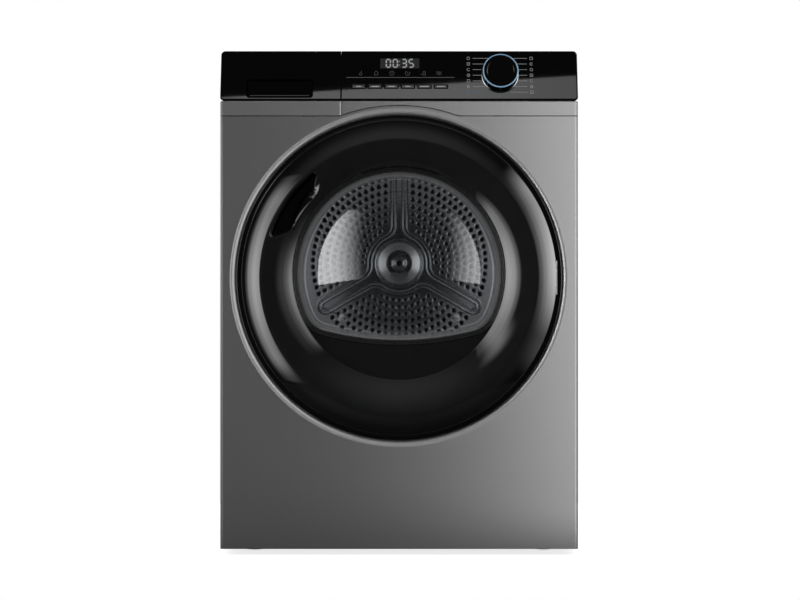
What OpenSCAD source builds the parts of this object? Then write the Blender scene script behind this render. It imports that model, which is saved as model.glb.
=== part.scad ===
// Heat-pump clothes dryer, free-standing, front loading.
// +X is to the right as seen from the front, +Y to the rear, +Z up.
// The origin is on the floor, under the centre of the whole machine.

/* [Cabinet] */
// Width of the cabinet
body_w = 595; // [560:1:620]
// Height from the floor to the top cover
body_h = 840; // [830:1:860]
// Depth of the cabinet from the front panel to the rear panel
body_d = 600; // [580:1:640]
// Gap between the floor and the cabinet
foot_h = 10; // [8:1:14]
// Thickness of the sheet steel
sheet = 1; // [0.8:0.1:1.4]
// Depth of the air duct cover behind the rear panel
duct_d = 12; // [10:1:30]
// Thickness of the top cover board
top_t = 15; // [12:1:18]

/* [Control panel] */
// Height of the seam between the front panel and the strip above it
seam_z = 728.5; // [724:0.5:732]
// Height of the lower edge of the black hood
hood_z = 752.5; // [750:0.5:756]
// Backward lean of the hood, in degrees
hood_tilt = 15; // [10:1:18]
// Width of the water tank drawer front
drawer_w = 201; // [190:1:210]
// Distance between the centres of two keys
key_pitch = 27.4; // [26:0.1:29]
// Width of a key
key_w = 24; // [20:0.5:25]
// Radius of the selector knob's face
knob_r = 29.4; // [26:0.2:31]
// How far the knob stands out of the hood
knob_h = 24; // [18:1:28]

/* [Door] */
// Height of the door's centre
door_z = 460.5; // [455:0.5:465]
// Outer radius of the door
door_r = 270; // [265:1:272]
// How far the door's crest stands out of the front panel
door_bulge = 35; // [32:0.5:38]
// Radius of the hole that the window sits in
window_hole_r = 177; // [176:0.5:178]
// Height of the window's centre above the door's centre
window_rise = 7; // [5:0.5:9]
// How far the door's hinge pin lies from the centre plane
hinge_x = 258; // [256:0.5:259]

/* [Drum] */
// Outer radius of the drum
drum_r = 284; // [280:1:285]
// Height of the drum's axis
drum_z = 496; // [494:0.5:498]
// Distance from the front panel to the drum's front edge
drum_front = 85.5; // [84:0.5:92]
// Length of the drum
drum_len = 498; // [470:1:500]
// Number of lifters
lifter_count = 3; // [2:1:4]
// Radius of a hole in the drum's rear wall
vent_r = 3.3; // [2.5:0.1:3.5]
// Number of rows of holes in each sector of the drum's rear wall
vent_row_count = 8; // [6:1:8]

/* [Hidden] */
$fn = 96;
clearance = 0.3;
running = 0.05;
half_w = body_w / 2;
drawer_x = drawer_w - half_w;
front_y = door_bulge - (body_d + door_bulge + duct_d) / 2;
rear_y = front_y + body_d;
top_z = body_h - top_t;
wave_r = door_r + 15.5;
seam_gap = 1.2;
corner_r = 5;
return_d = 20;

// Dish in the front panel round the door
dish_depth = 12;
dish_r = door_r + 11.7;
port_r = 222;

// Hood section, along the lean
hood_wall = 3;
hood_step = 2;
hood_d = 60;
hood_corner = 6.6;
strip_t = 3;

// Door shell: a convex ring, a tight crest and a rounded inner slope, as three tangent arcs
shell_t = 2.5;
outer_arc_r = 116.6;
crest_arc_r = 8;
outer_slope = 45;
crest_slope = 27;
funnel_slope = 20;
rim_slope = 41;
dome_r = door_r - 10.5;
crest_lift = outer_arc_r * (cos(crest_slope) - cos(outer_slope));
crest_start_r = dome_r - outer_arc_r * (sin(outer_slope) - sin(crest_slope));
crest_r = crest_start_r - crest_arc_r * sin(crest_slope);
crest_end_r = crest_r - crest_arc_r * sin(funnel_slope);
funnel_r = window_hole_r - window_rise - 0.5;
dome_h = door_bulge - crest_lift - crest_arc_r * (1 - cos(crest_slope));
funnel_arc_r = (crest_end_r - funnel_r) / (sin(rim_slope) - sin(funnel_slope));
crest_end_h = door_bulge - crest_arc_r * (1 - cos(funnel_slope));
funnel_h = crest_end_h - funnel_arc_r * (cos(funnel_slope) - cos(rim_slope));

// Door window: a rounded D made of three tangent arcs
window_r = window_hole_r - 1;
window_corner_r = 50;
window_sole_r = 504;
window_drop = 118.4;
sole_z = window_sole_r - window_drop;
corner_d = window_r - window_corner_r;
corner_reach = window_sole_r - window_corner_r;
corner_dip = asin((pow(corner_reach, 2) - pow(corner_d, 2) - pow(sole_z, 2)) / (2 * corner_d * sole_z));
corner_x = corner_d * cos(corner_dip);
corner_z = -corner_d * sin(corner_dip);
sole_angle = atan2(corner_z - sole_z, corner_x);
glass_t = 4;
bowl_depth = 48;
bowl_rim_h = 4;
gasket_w = 4.5;
gasket_back = -27;

// Door back frame
frame_back = -9;
frame_t = 3;
frame_wall_r = dome_r - 3;

// Handle cup, cut into the funnel at the upper left
cup_start = 131;
cup_sweep = 28;
cup_in_r = 190;
cup_out_r = 223;
cup_floor = -4;

// Hinge
hinge_h = 4.5;
knuckle_r = 4.5;
pin_r = 2.5;
leaf_half = 16;
arm_half = 28;
notch_half = 38;
notch_x = 236;

// Mouth and drum
tunnel_r = 218;
tunnel_t = 3;
tunnel_y0 = front_y + dish_depth + sheet + 0.5;
bulkhead_y0 = front_y + 75.5;
bulkhead_t = 3;
drum_y0 = front_y + drum_front;
drum_y1 = drum_y0 + drum_len;
drum_t = 1.2;
drum_lip_r = 262;
wall_y = drum_y1 - 10;
wall_t = 1.5;
wall_r = drum_r - drum_t;
hub_r = 57.5;
hub_rim_r = 49.5;
arm_reach = 182;
arm_w = 22;
bead_w = 13;
bead_h = 7;
vent_row_r = 73;
vent_row_pitch = 13.9;
vent_from_arm = 27;
axle_r = 12;
lifter_h = 44;
lifter_w = 62;

// Lint filter, in a pocket below the mouth
filter_y0 = front_y + 53;
filter_t = 12;
filter_w = 216;
filter_z0 = 132;
filter_z1 = 274;
pocket_gap = 1;
pocket_t = 1.5;

// Drive
belt_y = 22;
belt_w = 8;
belt_t = 2;
motor_x = 80;
motor_z = 110;
motor_r = 55;
motor_y0 = 60;
motor_y1 = 170;
shaft_r = 6;
pulley_r = 9;
idler_x = 140;
idler_z = 150;
idler_r = 14;
pivot_x = 110;
pivot_z = 60;
pivot_r = 5;
arm_y = 36;
roller_r = 30;
roller_angle = 28;
roller_w = 22;
roller_axle_r = 5;
roller_d = drum_r + roller_r + clearance;
roller_x = roller_d * sin(roller_angle);
roller_z = drum_z - roller_d * cos(roller_angle);
fan_r = 74;
fan_y0 = 214;
fan_y1 = 272;
fan_case_r = 88;
blade_count = 24;

// Heat pump
tray_z = foot_h + 2.2;
tray_t = 3;
tray_wall = 3;
tray_side_h = 70;
deck_z = tray_z + tray_t;
coil_x0 = -276;
coil_x1 = -84;
coil_z0 = deck_z + 4;
coil_z1 = 176;
evaporator_y0 = -150;
evaporator_y1 = -50;
condenser_y0 = -28;
condenser_y1 = 118;
fin_t = 1.2;
fin_count = 20;
tube_r = 5;
compressor_x = 214;
compressor_y = 130;
compressor_r = 56;
compressor_z0 = 40;
compressor_z1 = 196;

// Water tank: the section clears the drum's shoulder
tank_x0 = -286;
tank_x1 = -104;
tank_step_x = -165;
tank_z0 = 737;
tank_z1 = 771;
tank_top = 819;
tank_y0 = front_y + 32;
tank_len = 430;
tank_wall = 2;

// Screws of the rear panel, as [x, z]
rear_screws = [for (x = [-285, -95, 95, 285], z = [foot_h + 24, top_z - 14]) [x, z]];

// Feet
foot_x = 245;
foot_front_y = front_y + 85;
foot_rear_y = rear_y - 60;
foot_r = 20;
screw_r = 5;

// Controls on the hood, given along X and as heights
key_x = 1;
key_z = 778.5;
key_h = 7.8;
key_proud = 1.5;
display_x = 1.1;
display_z = 818.5;
display_w = 65.6;
display_h = 17.6;
knob_x = 168;
knob_z = 797;
knob_shaft_r = 4;
grip_x0 = -254;
grip_x1 = -143;
grip_z0 = 758;
grip_z1 = 791.5;
grip_depth = 13;

// Colours
graphite = [0.36, 0.36, 0.37];
gloss_black = [0.03, 0.03, 0.035];
dark_plastic = [0.12, 0.12, 0.13];
pale_plastic = [0.78, 0.79, 0.8];
zinc = [0.68, 0.69, 0.7];
steel = [0.6, 0.61, 0.62];
copper = [0.72, 0.43, 0.29];
rubber = [0.08, 0.08, 0.08];

// ---- helpers ----

// Box between two corners
module span(x, y, z) {
    translate([x[0], y[0], z[0]])
        cube([x[1] - x[0], y[1] - y[0], z[1] - z[0]]);
}

// Extrudes a front-view outline (x, height) from y0 to y1
module along_y(y0, y1) {
    translate([0, y1, 0])
        rotate([90, 0, 0])
            linear_extrude(y1 - y0)
                children();
}

// Extrudes a side-view outline (y, height) from x0 to x1
module along_x(x0, x1) {
    translate([x0, 0, 0])
        rotate([90, 0, 90])
            linear_extrude(x1 - x0)
                children();
}

// Cylinder with its axis along Y
module bar_y(x, z, r, y0, y1) {
    translate([x, y1, z])
        rotate([90, 0, 0])
            cylinder(h = y1 - y0, r = r);
}

// Direction from one point to another
function toward(a, b) = (b - a) / norm(b - a);

// A route with each inner corner rounded off over a length
function rounded_route(p, bend) = concat(
    [p[0]],
    [for (i = [1 : len(p) - 2])
        let (a = p[i] + bend * toward(p[i], p[i - 1]), c = p[i] + bend * toward(p[i], p[i + 1]))
        each [for (t = [0 : 0.25 : 1]) (1 - t) * (1 - t) * a + 2 * t * (1 - t) * p[i] + t * t * c]],
    [p[len(p) - 1]]);

// Bent pipe through a list of points, swept as one closed tube
module pipe(points, r, bend = 14) {
    sides = 8;
    q = rounded_route(points, bend);
    n = len(q);
    up = [0.37, 0.61, 0.71];
    rings = [for (i = [0 : n - 1])
        let (
            d = toward(q[max(i - 1, 0)], q[min(i + 1, n - 1)]),
            u = cross(d, up) / norm(cross(d, up)),
            v = cross(d, u))
        each [for (k = [0 : sides - 1]) q[i] + r * (cos(k * 360 / sides) * u + sin(k * 360 / sides) * v)]];
    walls = [for (i = [0 : n - 2], k = [0 : sides - 1])
        let (a = i * sides + k, b = i * sides + (k + 1) % sides)
        each [[a, b + sides, b], [a, a + sides, b + sides]]];
    caps = [[for (k = [0 : sides - 1]) k], [for (k = [sides - 1 : -1 : 0]) (n - 1) * sides + k]];
    polyhedron(rings, concat(walls, caps));
}

// The door's own axes: local z is the height above the front panel
module on_door() {
    translate([0, front_y, door_z])
        rotate([90, 0, 0])
            children();
}

// The window's own axes
module on_window() {
    on_door()
        translate([0, window_rise, 0])
            children();
}

// A place on the leaning hood: local y runs up the hood and local z stands out of it
module on_hood(x, z) {
    translate([x, hood_face(z), z])
        rotate([90 - hood_tilt, 0, 0])
            children();
}

// Depth of the hood's face at a height
function hood_face(z) = front_y - hood_step + (z - hood_z) * tan(hood_tilt);

// Direction in which an anticlockwise outline leaves circle a, [x, height, radius], for circle b
function leave_angle(a, b) =
    let (d = [b[0] - a[0], b[1] - a[1]])
    atan2(d[1], d[0]) - acos((a[2] - b[2]) / norm(d));

// The angle, raised by full turns until it is past another
function past(angle, start) = start + (((angle - start) % 360) + 360) % 360;

// Points of an arc, from one angle to another, both included
function arc(centre, r, from, to, steps) =
    [for (i = [0 : steps]) let (a = from + (to - from) * i / steps)
        centre + r * [cos(a), sin(a)]];

// Outline of the window, moved outwards by d
function window_outline(d) = concat(
    arc([0, 0], window_r + d, -corner_dip, 180 + corner_dip, 48),
    arc([-corner_x, corner_z], window_corner_r + d, 180 + corner_dip, 180 - sole_angle, 10),
    arc([0, sole_z], window_sole_r + d, 180 - sole_angle, 360 + sole_angle, 12),
    arc([corner_x, corner_z], window_corner_r + d, 360 + sole_angle, 360 - corner_dip, 10));

// Outline of the tank's section, moved outwards by d
function tank_outline(d) = [
    [tank_x0 - d, tank_z0 - d],
    [tank_step_x + 0.26 * d, tank_z0 - d],
    [tank_x1 + d, tank_z1 - 0.59 * d],
    [tank_x1 + d, tank_top + d],
    [tank_x0 - d, tank_top + d]];

// Outline stretched round circles, [x, height, radius], listed anticlockwise
module loop_outline(circles) {
    n = len(circles);
    polygon([for (i = [0 : n - 1])
        let (
            c = circles[i],
            start = leave_angle(circles[(i + n - 1) % n], c),
            end = past(leave_angle(c, circles[(i + 1) % n]), start),
            steps = ceil((end - start) / 5))
        each arc([c[0], c[1]], c[2], start, end, steps)]);
}

module window_shape(d) {
    polygon(window_outline(d));
}

// ---- cabinet ----

module side_panel() {
    flange = 18;
    rear_flange = 12;
    y0 = front_y + return_d + 0.5;
    color(graphite) union() {
        span([half_w - sheet, half_w], [y0, rear_y], [foot_h, hood_z - 0.5]);
        span([half_w - sheet, half_w], [front_y + hood_d + 0.5, rear_y], [foot_h, top_z]);
        span([half_w - flange, half_w], [y0 + 8, rear_y - 8], [foot_h, foot_h + sheet]);
        span([half_w - flange, half_w], [y0 + 50, rear_y - 8], [top_z - sheet, top_z]);
        span([half_w - flange, half_w], [y0, y0 + sheet], [tray_side_h + 2, seam_z - 6]);
        span([half_w - rear_flange, half_w], [rear_y - 2.5 - sheet, rear_y - 2.5], [foot_h, top_z]);
    }
}

module left_side_panel() {
    mirror([1, 0, 0])
        side_panel();
}

module right_side_panel() {
    side_panel();
}

// Height outline of the front panel: a straight seam with an arch over the door
module panel_outline(gap) {
    translate([-half_w, foot_h])
        square([body_w, seam_z - foot_h + gap]);
    translate([0, door_z])
        circle(r = wave_r + gap);
}

module front_panel() {
    color(graphite) difference() {
        union() {
            intersection() {
                translate([0, 0, foot_h])
                    linear_extrude(body_h)
                        difference() {
                            panel_section(0);
                            panel_section(sheet);
                        }
                along_y(front_y - 1, front_y + return_d)
                    difference() {
                        panel_outline(0);
                        translate([0, door_z])
                            circle(r = dish_r);
                    }
            }
            on_door()
                rotate_extrude()
                    polygon([
                        [dish_r + 0.5, 0], [dish_r, 0], [door_r, -dish_depth],
                        [port_r, -dish_depth], [port_r, -dish_depth - sheet],
                        [door_r + 0.5, -dish_depth - sheet], [dish_r + 0.5, -sheet]]);
        }
        // Slot for the latch hook
        span([-243, -231], [front_y, front_y + 20], [door_z - 10, door_z + 10]);
    }
}

// Plan section of the front panel, with rounded vertical edges
module panel_section(inset) {
    x = half_w - inset;
    r = corner_r - inset;
    y = front_y + inset;
    translate([-x + r, y])
        square([2 * (x - r), return_d]);
    translate([-x, y + r])
        square([2 * x, return_d - r - inset + (inset > 0 ? 2 * inset : 0)]);
    for (side = [-1, 1])
        translate([side * (x - r), y + r])
            circle(r = r, $fn = 48);
}

module rear_panel() {
    flue_r = 150;
    color(zinc) difference() {
        along_y(rear_y - sheet, rear_y)
            difference() {
                translate([-half_w + sheet + 0.3, foot_h + 0.5])
                    square([body_w - 2 * sheet - 0.6, top_z - foot_h - 1]);
                translate([0, drum_z]) {
                    circle(r = axle_r + 4);
                    for (i = [0 : 11])
                        rotate(i * 30)
                            translate([flue_r, 0])
                                circle(r = 26);
                }
                translate([motor_x, motor_z])
                    circle(r = fan_case_r - 8);
            }
        span([206, 254], [rear_y - 5, rear_y + 5], [60, 90]);
        screw_holes(2.2);
    }
}

module screw_holes(r) {
    for (p = rear_screws)
        bar_y(p[0], p[1], r, rear_y - 12, rear_y + 2);
}

module duct_outline(inset) {
    loop_outline([[0, drum_z, 236 - inset], [motor_x, motor_z, 94 - inset]]);
}

module rear_duct_cover() {
    color(zinc) difference() {
        along_y(rear_y, rear_y + duct_d)
            duct_outline(0);
        along_y(rear_y - 1, rear_y + duct_d - sheet)
            duct_outline(sheet);
    }
}

module top_cover() {
    y0 = front_y + hood_d + 0.6;
    edge = 6;
    color(graphite) difference() {
        union() {
            span([-half_w, half_w], [y0, rear_y - edge], [top_z, body_h]);
            span([-half_w + edge, half_w - edge], [y0, rear_y], [top_z, body_h]);
            for (side = [-1, 1])
                translate([side * (half_w - edge), rear_y - edge, top_z])
                    cylinder(h = top_t, r = edge);
        }
        span([-half_w + 12, half_w - 12], [y0 + 12, rear_y - 12], [top_z - 1, top_z + 4]);
    }
}

module base_tray() {
    x = half_w - sheet - 0.5;
    y0 = front_y + 3;
    y1 = rear_y - 4.5;
    color(dark_plastic) difference() {
        union() {
            span([-x, x], [y0, y1], [tray_z, deck_z]);
            for (side = [-1, 1])
                span([side * x - tray_wall / 2 - side * tray_wall / 2,
                      side * x + tray_wall / 2 - side * tray_wall / 2],
                     [y0, y1], [tray_z, tray_side_h]);
            span([-x, x], [y0, y0 + tray_wall], [tray_z, tray_side_h]);
            span([-x, x], [y1 - tray_wall, y1], [tray_z, 60]);
            // Wall beside the air channel of the two coils
            span([coil_x1 + 6, coil_x1 + 9], [evaporator_y0 - 20, condenser_y1 + 20], [tray_z, 60]);
            for (y = [foot_front_y, foot_rear_y], side = [-1, 1])
                translate([side * foot_x, y, tray_z])
                    cylinder(h = 38, r = 12);
        }
        for (y = [foot_front_y, foot_rear_y], side = [-1, 1])
            translate([side * foot_x, y, 0])
                cylinder(h = 60, r = screw_r + running);
        // Seat for the fan's housing in the rear wall
        bar_y(motor_x, motor_z, fan_case_r + 0.5, y1 - 10, y1 + 1);
    }
}

module foot(x, y) {
    color(rubber) translate([x, y, 0]) {
        cylinder(h = 2, r1 = foot_r - 2, r2 = foot_r);
        translate([0, 0, 2])
            cylinder(h = 3, r = foot_r);
        cylinder(h = foot_h + 1, r = 10, $fn = 6);
        cylinder(h = 44, r = screw_r);
    }
}

module front_left_foot() {
    foot(-foot_x, foot_front_y);
}

module front_right_foot() {
    foot(foot_x, foot_front_y);
}

module rear_left_foot() {
    foot(-foot_x, foot_rear_y);
}

module rear_right_foot() {
    foot(foot_x, foot_rear_y);
}

module cabinet_screws() {
    color(steel) for (p = rear_screws) {
        bar_y(p[0], p[1], 4, rear_y + 0.02, rear_y + 2.5);
        bar_y(p[0], p[1], 1.9, rear_y - 2.2, rear_y + 0.5);
    }
}

module mains_inlet() {
    color(dark_plastic) difference() {
        union() {
            span([206.4, 253.6], [rear_y - 26, rear_y + 1], [60.4, 89.6]);
            span([202, 258], [rear_y + 0.02, rear_y + 3], [55, 95]);
        }
        span([216, 244], [rear_y - 20, rear_y + 5], [66, 84]);
    }
}

// ---- control panel ----

// Side-view section of the hood: [y, height] points, moved inwards by t
function hood_section(t) = [
    [hood_face(hood_z) + t / cos(hood_tilt), hood_z - (t > 0 ? 1 : 0)],
    [hood_face(body_h - 5) + t / cos(hood_tilt) - t * 0.3, body_h - 5 - 0.6 * t],
    [hood_face(body_h - 5) + 1.6 + t, body_h - 1.8 - t],
    [hood_face(body_h - 5) + 5 + t, body_h - t],
    [front_y + hood_d + (t > 0 ? 1 : 0), body_h - t],
    [front_y + hood_d + (t > 0 ? 1 : 0), hood_z - (t > 0 ? 1 : 0)]];

// Front-view outline of the whole hood, with rounded upper corners
module hood_outline() {
    translate([-half_w, hood_z - 5])
        square([body_w, body_h - hood_z + 5 - hood_corner]);
    translate([-half_w + hood_corner, hood_z - 5])
        square([body_w - 2 * hood_corner, body_h - hood_z + 5]);
    for (side = [-1, 1])
        translate([side * (half_w - hood_corner), body_h - hood_corner])
            circle(r = hood_corner, $fn = 48);
}

// Hollow hood between two x positions, open below and behind
module hood(x0, x1) {
    intersection() {
        difference() {
            along_x(x0, x1)
                polygon(hood_section(0));
            along_x(x0 + hood_wall, x1 - hood_wall)
                polygon(hood_section(hood_wall));
        }
        along_y(front_y - 20, front_y + hood_d + 5)
            hood_outline();
    }
}

// Strip below the hood, from x0 to x1, with its lower edge arched over the door
module strip(x0, x1) {
    along_y(front_y, front_y + strip_t)
        difference() {
            translate([x0, seam_z])
                square([x1 - x0, hood_z - seam_z - 0.3]);
            panel_outline(seam_gap);
        }
}

function key_centre(i) = key_x + (i - 3.5) * key_pitch;

module control_panel() {
    color(gloss_black) difference() {
        hood(drawer_x + 0.4, half_w);
        for (i = [1 : 6])
            on_hood(key_centre(i), key_z)
                cube([key_w + 2 * clearance, key_h + 2 * clearance, 14], center = true);
        on_hood(display_x, display_z)
            cube([display_w + 0.4, display_h + 0.4, 14], center = true);
        on_hood(knob_x, knob_z)
            cylinder(h = 20, r = knob_shaft_r + running, center = true, $fn = 48);
    }
}

// Rounded end of the strip at the cabinet's right edge, with its return
module strip_end() {
    h = hood_z - seam_z - seam_gap - 0.3;
    translate([half_w - corner_r, front_y + corner_r, seam_z + seam_gap])
        intersection() {
            difference() {
                cylinder(h = h, r = corner_r, $fn = 48);
                translate([0, 0, -1])
                    cylinder(h = h + 2, r = corner_r - strip_t, $fn = 48);
            }
            translate([0, -2 * corner_r, 0])
                cube([2 * corner_r, 2 * corner_r, h]);
        }
    span([half_w - strip_t, half_w], [front_y + corner_r, front_y + return_d],
         [seam_z + seam_gap, hood_z - 0.3]);
}

module control_panel_trim() {
    color(graphite) union() {
        strip(drawer_x + 0.4, half_w - corner_r);
        strip_end();
    }
}

module control_box() {
    y0 = front_y + 33;
    y1 = front_y + 58;
    wall = 2;
    color(pale_plastic) union() {
        difference() {
            span([-88, 288], [y0, y1], [760, top_z - 8]);
            span([-88 + wall, 288 - wall], [y0 + wall, y1 - wall], [760 + wall, top_z - 8 - wall]);
        }
        // Circuit board on its edge rails
        span([-80, 280], [y0 + 10, y0 + 11.6], [762, top_z - 10]);
    }
}

module display_window() {
    color([0.2, 0.21, 0.22]) on_hood(display_x, display_z)
        translate([0, 0, -1.2])
            cube([display_w, display_h, 2], center = true);
}

module key(i) {
    color(gloss_black) on_hood(key_centre(i), key_z) {
        translate([0, 0, key_proud / 2 - 1])
            cube([key_w, key_h, key_proud + 2], center = true);
        translate([0, 0, -4])
            cube([key_w - 8, key_h - 3, 6], center = true);
    }
}

module key_1() {
    key(1);
}

module key_2() {
    key(2);
}

module key_3() {
    key(3);
}

module key_4() {
    key(4);
}

module key_5() {
    key(5);
}

module key_6() {
    key(6);
}

module selector_knob() {
    skirt_h = 4;
    color(gloss_black) on_hood(knob_x, knob_z) {
        translate([0, 0, 0.5])
            cylinder(h = skirt_h, r = knob_r + 1.6);
        translate([0, 0, 0.5 + skirt_h])
            cylinder(h = knob_h - skirt_h - 2, r1 = knob_r + 0.8, r2 = knob_r - 0.6);
        translate([0, 0, knob_h - 1.5])
            difference() {
                cylinder(h = 1.5, r = knob_r);
                translate([0, 0, 0.7])
                    cylinder(h = 2, r = knob_r - 4);
            }
        translate([0, 0, -7])
            cylinder(h = 8, r = knob_shaft_r, $fn = 48);
    }
}

// ---- water tank ----

module water_tank() {
    y1 = tank_y0 + tank_len;
    color([0.75, 0.8, 0.84]) union() {
        difference() {
            along_y(tank_y0, y1)
                polygon(tank_outline(0));
            along_y(tank_y0 + tank_wall, y1 - tank_wall)
                polygon(tank_outline(-tank_wall));
            // Filling hole at the rear and drain hole at the front, both in the top
            translate([-200, y1 - 40, tank_top - 5])
                cylinder(h = 10, r = 12);
            translate([-245, tank_y0 + 40, tank_top - 5])
                cylinder(h = 10, r = 15);
        }
        // Lugs that carry the drawer front
        for (x = [-270, -190, -120])
            span([x - 6, x + 6], [front_y + hood_d - 40, tank_y0 + 0.5], [775, 781]);
    }
}

module tank_drawer_front() {
    color(gloss_black) union() {
        difference() {
            hood(-half_w, drawer_x - 0.4);
            span([grip_x0, grip_x1], [front_y - 10, front_y + 40], [grip_z0, grip_z1]);
        }
        // Finger cup behind the opening
        difference() {
            span([grip_x0 - 2, grip_x1 + 2], [hood_face(grip_z0) + 3.5, front_y + grip_depth + 6],
                 [grip_z0 - 2, grip_z1 + 2]);
            span([grip_x0, grip_x1], [front_y - 10, front_y + grip_depth + 4], [grip_z0, grip_z1]);
            hood_front_cut();
        }
    }
}

// Everything in front of the hood's inner face, with a small overlap for the joint
module hood_front_cut() {
    along_x(-half_w, drawer_x)
        polygon([
            [front_y - 30, hood_z - 10],
            [hood_face(hood_z - 10) + 3, hood_z - 10],
            [hood_face(body_h) + 3, body_h],
            [front_y - 30, body_h]]);
}

module tank_drawer_trim() {
    color(graphite) union() {
        strip(-half_w + corner_r, drawer_x - 0.4);
        mirror([1, 0, 0])
            strip_end();
    }
}

module tank_housing() {
    y0 = tank_y0 + 34;
    y1 = tank_y0 + tank_len + 14;
    color(dark_plastic) difference() {
        along_y(y0, y1)
            polygon(tank_outline(3));
        along_y(y0 - 1, y1 - 3)
            polygon(tank_outline(1));
        // Drip opening over the tank's filling hole
        translate([-200, tank_y0 + tank_len - 40, tank_top])
            cylinder(h = 10, r = 8);
    }
}

// ---- door ----

// Outer profile of the door shell, as [radius, height] points, moved inwards by t
function shell_profile(t) = concat(
    [[door_r - t, 1.5], [door_r - t, 4 - 0.3 * t], [door_r - 2 - t, 7.5 - 0.6 * t]],
    arc([dome_r - outer_arc_r * sin(outer_slope), dome_h - outer_arc_r * cos(outer_slope)],
        outer_arc_r - t, 90 - outer_slope, 90 - crest_slope, 8),
    arc([crest_r, door_bulge - crest_arc_r], crest_arc_r - t, 90 - crest_slope, 90 + funnel_slope, 6),
    arc([crest_end_r + funnel_arc_r * sin(funnel_slope),
         crest_end_h - funnel_arc_r * cos(funnel_slope)],
        funnel_arc_r - t, 90 + funnel_slope, 90 + rim_slope, 10));

// Reverses a list of points
function backwards(points) = [for (i = [len(points) - 1 : -1 : 0]) points[i]];

module door_cover() {
    color(gloss_black) on_door() difference() {
        rotate_extrude()
            polygon(concat(shell_profile(0), backwards(shell_profile(shell_t))));
        rotate([0, 0, cup_start])
            rotate_extrude(angle = cup_sweep)
                translate([cup_in_r, -20])
                    square([cup_out_r - cup_in_r, 70]);
        translate([0, window_rise, -20])
            cylinder(h = 70, r = window_hole_r);
    }
}

module door_handle_cup() {
    wall = 1.5;
    rim_h = 7;
    color(dark_plastic) on_door() difference() {
        rotate([0, 0, cup_start - 1])
            rotate_extrude(angle = cup_sweep + 2)
                translate([cup_in_r - wall, cup_floor])
                    square([cup_out_r - cup_in_r + 2 * wall, rim_h]);
        rotate([0, 0, cup_start])
            rotate_extrude(angle = cup_sweep)
                translate([cup_in_r, cup_floor + wall])
                    square([cup_out_r - cup_in_r, 40]);
    }
}

// Apron that fills the window hole below the flat side of the D
module window_surround() {
    thick = 3;
    color(gloss_black) on_window()
        translate([0, 0, funnel_h - thick])
            linear_extrude(thick)
                difference() {
                    circle(r = window_hole_r - 0.3);
                    window_shape(0.3);
                    translate([-200, corner_z - 6])
                        square([400, 300]);
                }
}

module door_back_frame() {
    color(dark_plastic) on_door() difference() {
        union() {
            translate([0, 0, frame_back])
                cylinder(h = frame_t, r = frame_wall_r);
            translate([0, 0, frame_back])
                difference() {
                    cylinder(h = 16, r = frame_wall_r);
                    translate([0, 0, -1])
                        cylinder(h = 20, r = frame_wall_r - 2.5);
                }
            translate([0, window_rise, gasket_back])
                linear_extrude(frame_back - gasket_back + 1)
                    window_shape(3);
            // Ring that the window surround rests on
            translate([0, window_rise, frame_back])
                difference() {
                    cylinder(h = funnel_h - frame_back - 3.2, r = window_hole_r - 0.4);
                    translate([0, 0, -1])
                        cylinder(h = 40, r = window_hole_r - 6);
                    translate([-200, corner_z - 6, -20])
                        cube([400, 300, 60]);
                }
        }
        translate([0, window_rise, -60])
            linear_extrude(90)
                window_shape(0.3);
        // Notch that clears the hinge
        translate([notch_x, -notch_half, -20])
            cube([60, 2 * notch_half, 60]);
    }
}

module window_gasket() {
    color(rubber) on_window()
        translate([0, 0, gasket_back])
            linear_extrude(bowl_rim_h + 1 - gasket_back)
                difference() {
                    window_shape(0);
                    window_shape(-gasket_w);
                }
}

module window_glass() {
    rim_r = window_r - gasket_w;
    bowl_r = (pow(rim_r, 2) + pow(bowl_depth, 2)) / (2 * bowl_depth);
    color([0.25, 0.27, 0.29, 0.4]) on_window() intersection() {
        translate([0, 0, bowl_rim_h - bowl_depth + bowl_r])
            difference() {
                sphere(r = bowl_r + glass_t, $fn = 180);
                sphere(r = bowl_r, $fn = 180);
            }
        translate([0, 0, -70])
            linear_extrude(70 + bowl_rim_h)
                window_shape(-gasket_w - 0.2);
    }
}

module door_seal() {
    color(rubber) on_door()
        rotate_extrude()
            polygon([
                [port_r + 2, frame_back - 0.05], [port_r + 8, frame_back - 0.05],
                [port_r + 7, -dish_depth + clearance], [port_r + 3, -dish_depth + clearance]]);
}

module door_hook() {
    color(steel) on_door() union() {
        translate([-240, -7, frame_back - 22])
            cube([6, 14, 21.95]);
        translate([-240, -7, frame_back - 22])
            cube([9, 14, 6]);
        translate([-246, -12, frame_back - 2])
            cube([15, 24, 1.95]);
    }
}

module door_lock() {
    y0 = front_y + dish_depth + sheet + 0.3;
    color(dark_plastic) difference() {
        span([-252, -222.5], [y0, y0 + 34], [door_z - 26, door_z + 26]);
        span([-244, -228], [y0 - 1, y0 + 26], [door_z - 10, door_z + 10]);
    }
}

// Hinge pieces are drawn about the pin: x to the right, y to the rear
module on_hinge(z0, z1) {
    translate([hinge_x, front_y - hinge_h, z0])
        linear_extrude(z1 - z0)
            children();
}

module hinge_bracket() {
    floor_y = hinge_h + dish_depth;
    color(steel) union() {
        for (side = [-1, 1]) {
            z0 = door_z + (side > 0 ? leaf_half + 1 : -arm_half);
            z1 = door_z + (side > 0 ? arm_half : -leaf_half - 1);
            on_hinge(z0, z1) {
                circle(r = knuckle_r, $fn = 48);
                translate([-16, -1.5])
                    square([16, 3]);
                translate([-16, -1.5])
                    square([3, floor_y + 1]);
            }
        }
        on_hinge(door_z - 35, door_z + 35)
            translate([-21, floor_y - 2])
                square([9, 1.95]);
        translate([hinge_x, front_y - hinge_h, door_z - arm_half])
            cylinder(h = 2 * arm_half, r = pin_r, $fn = 48);
    }
}

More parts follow.
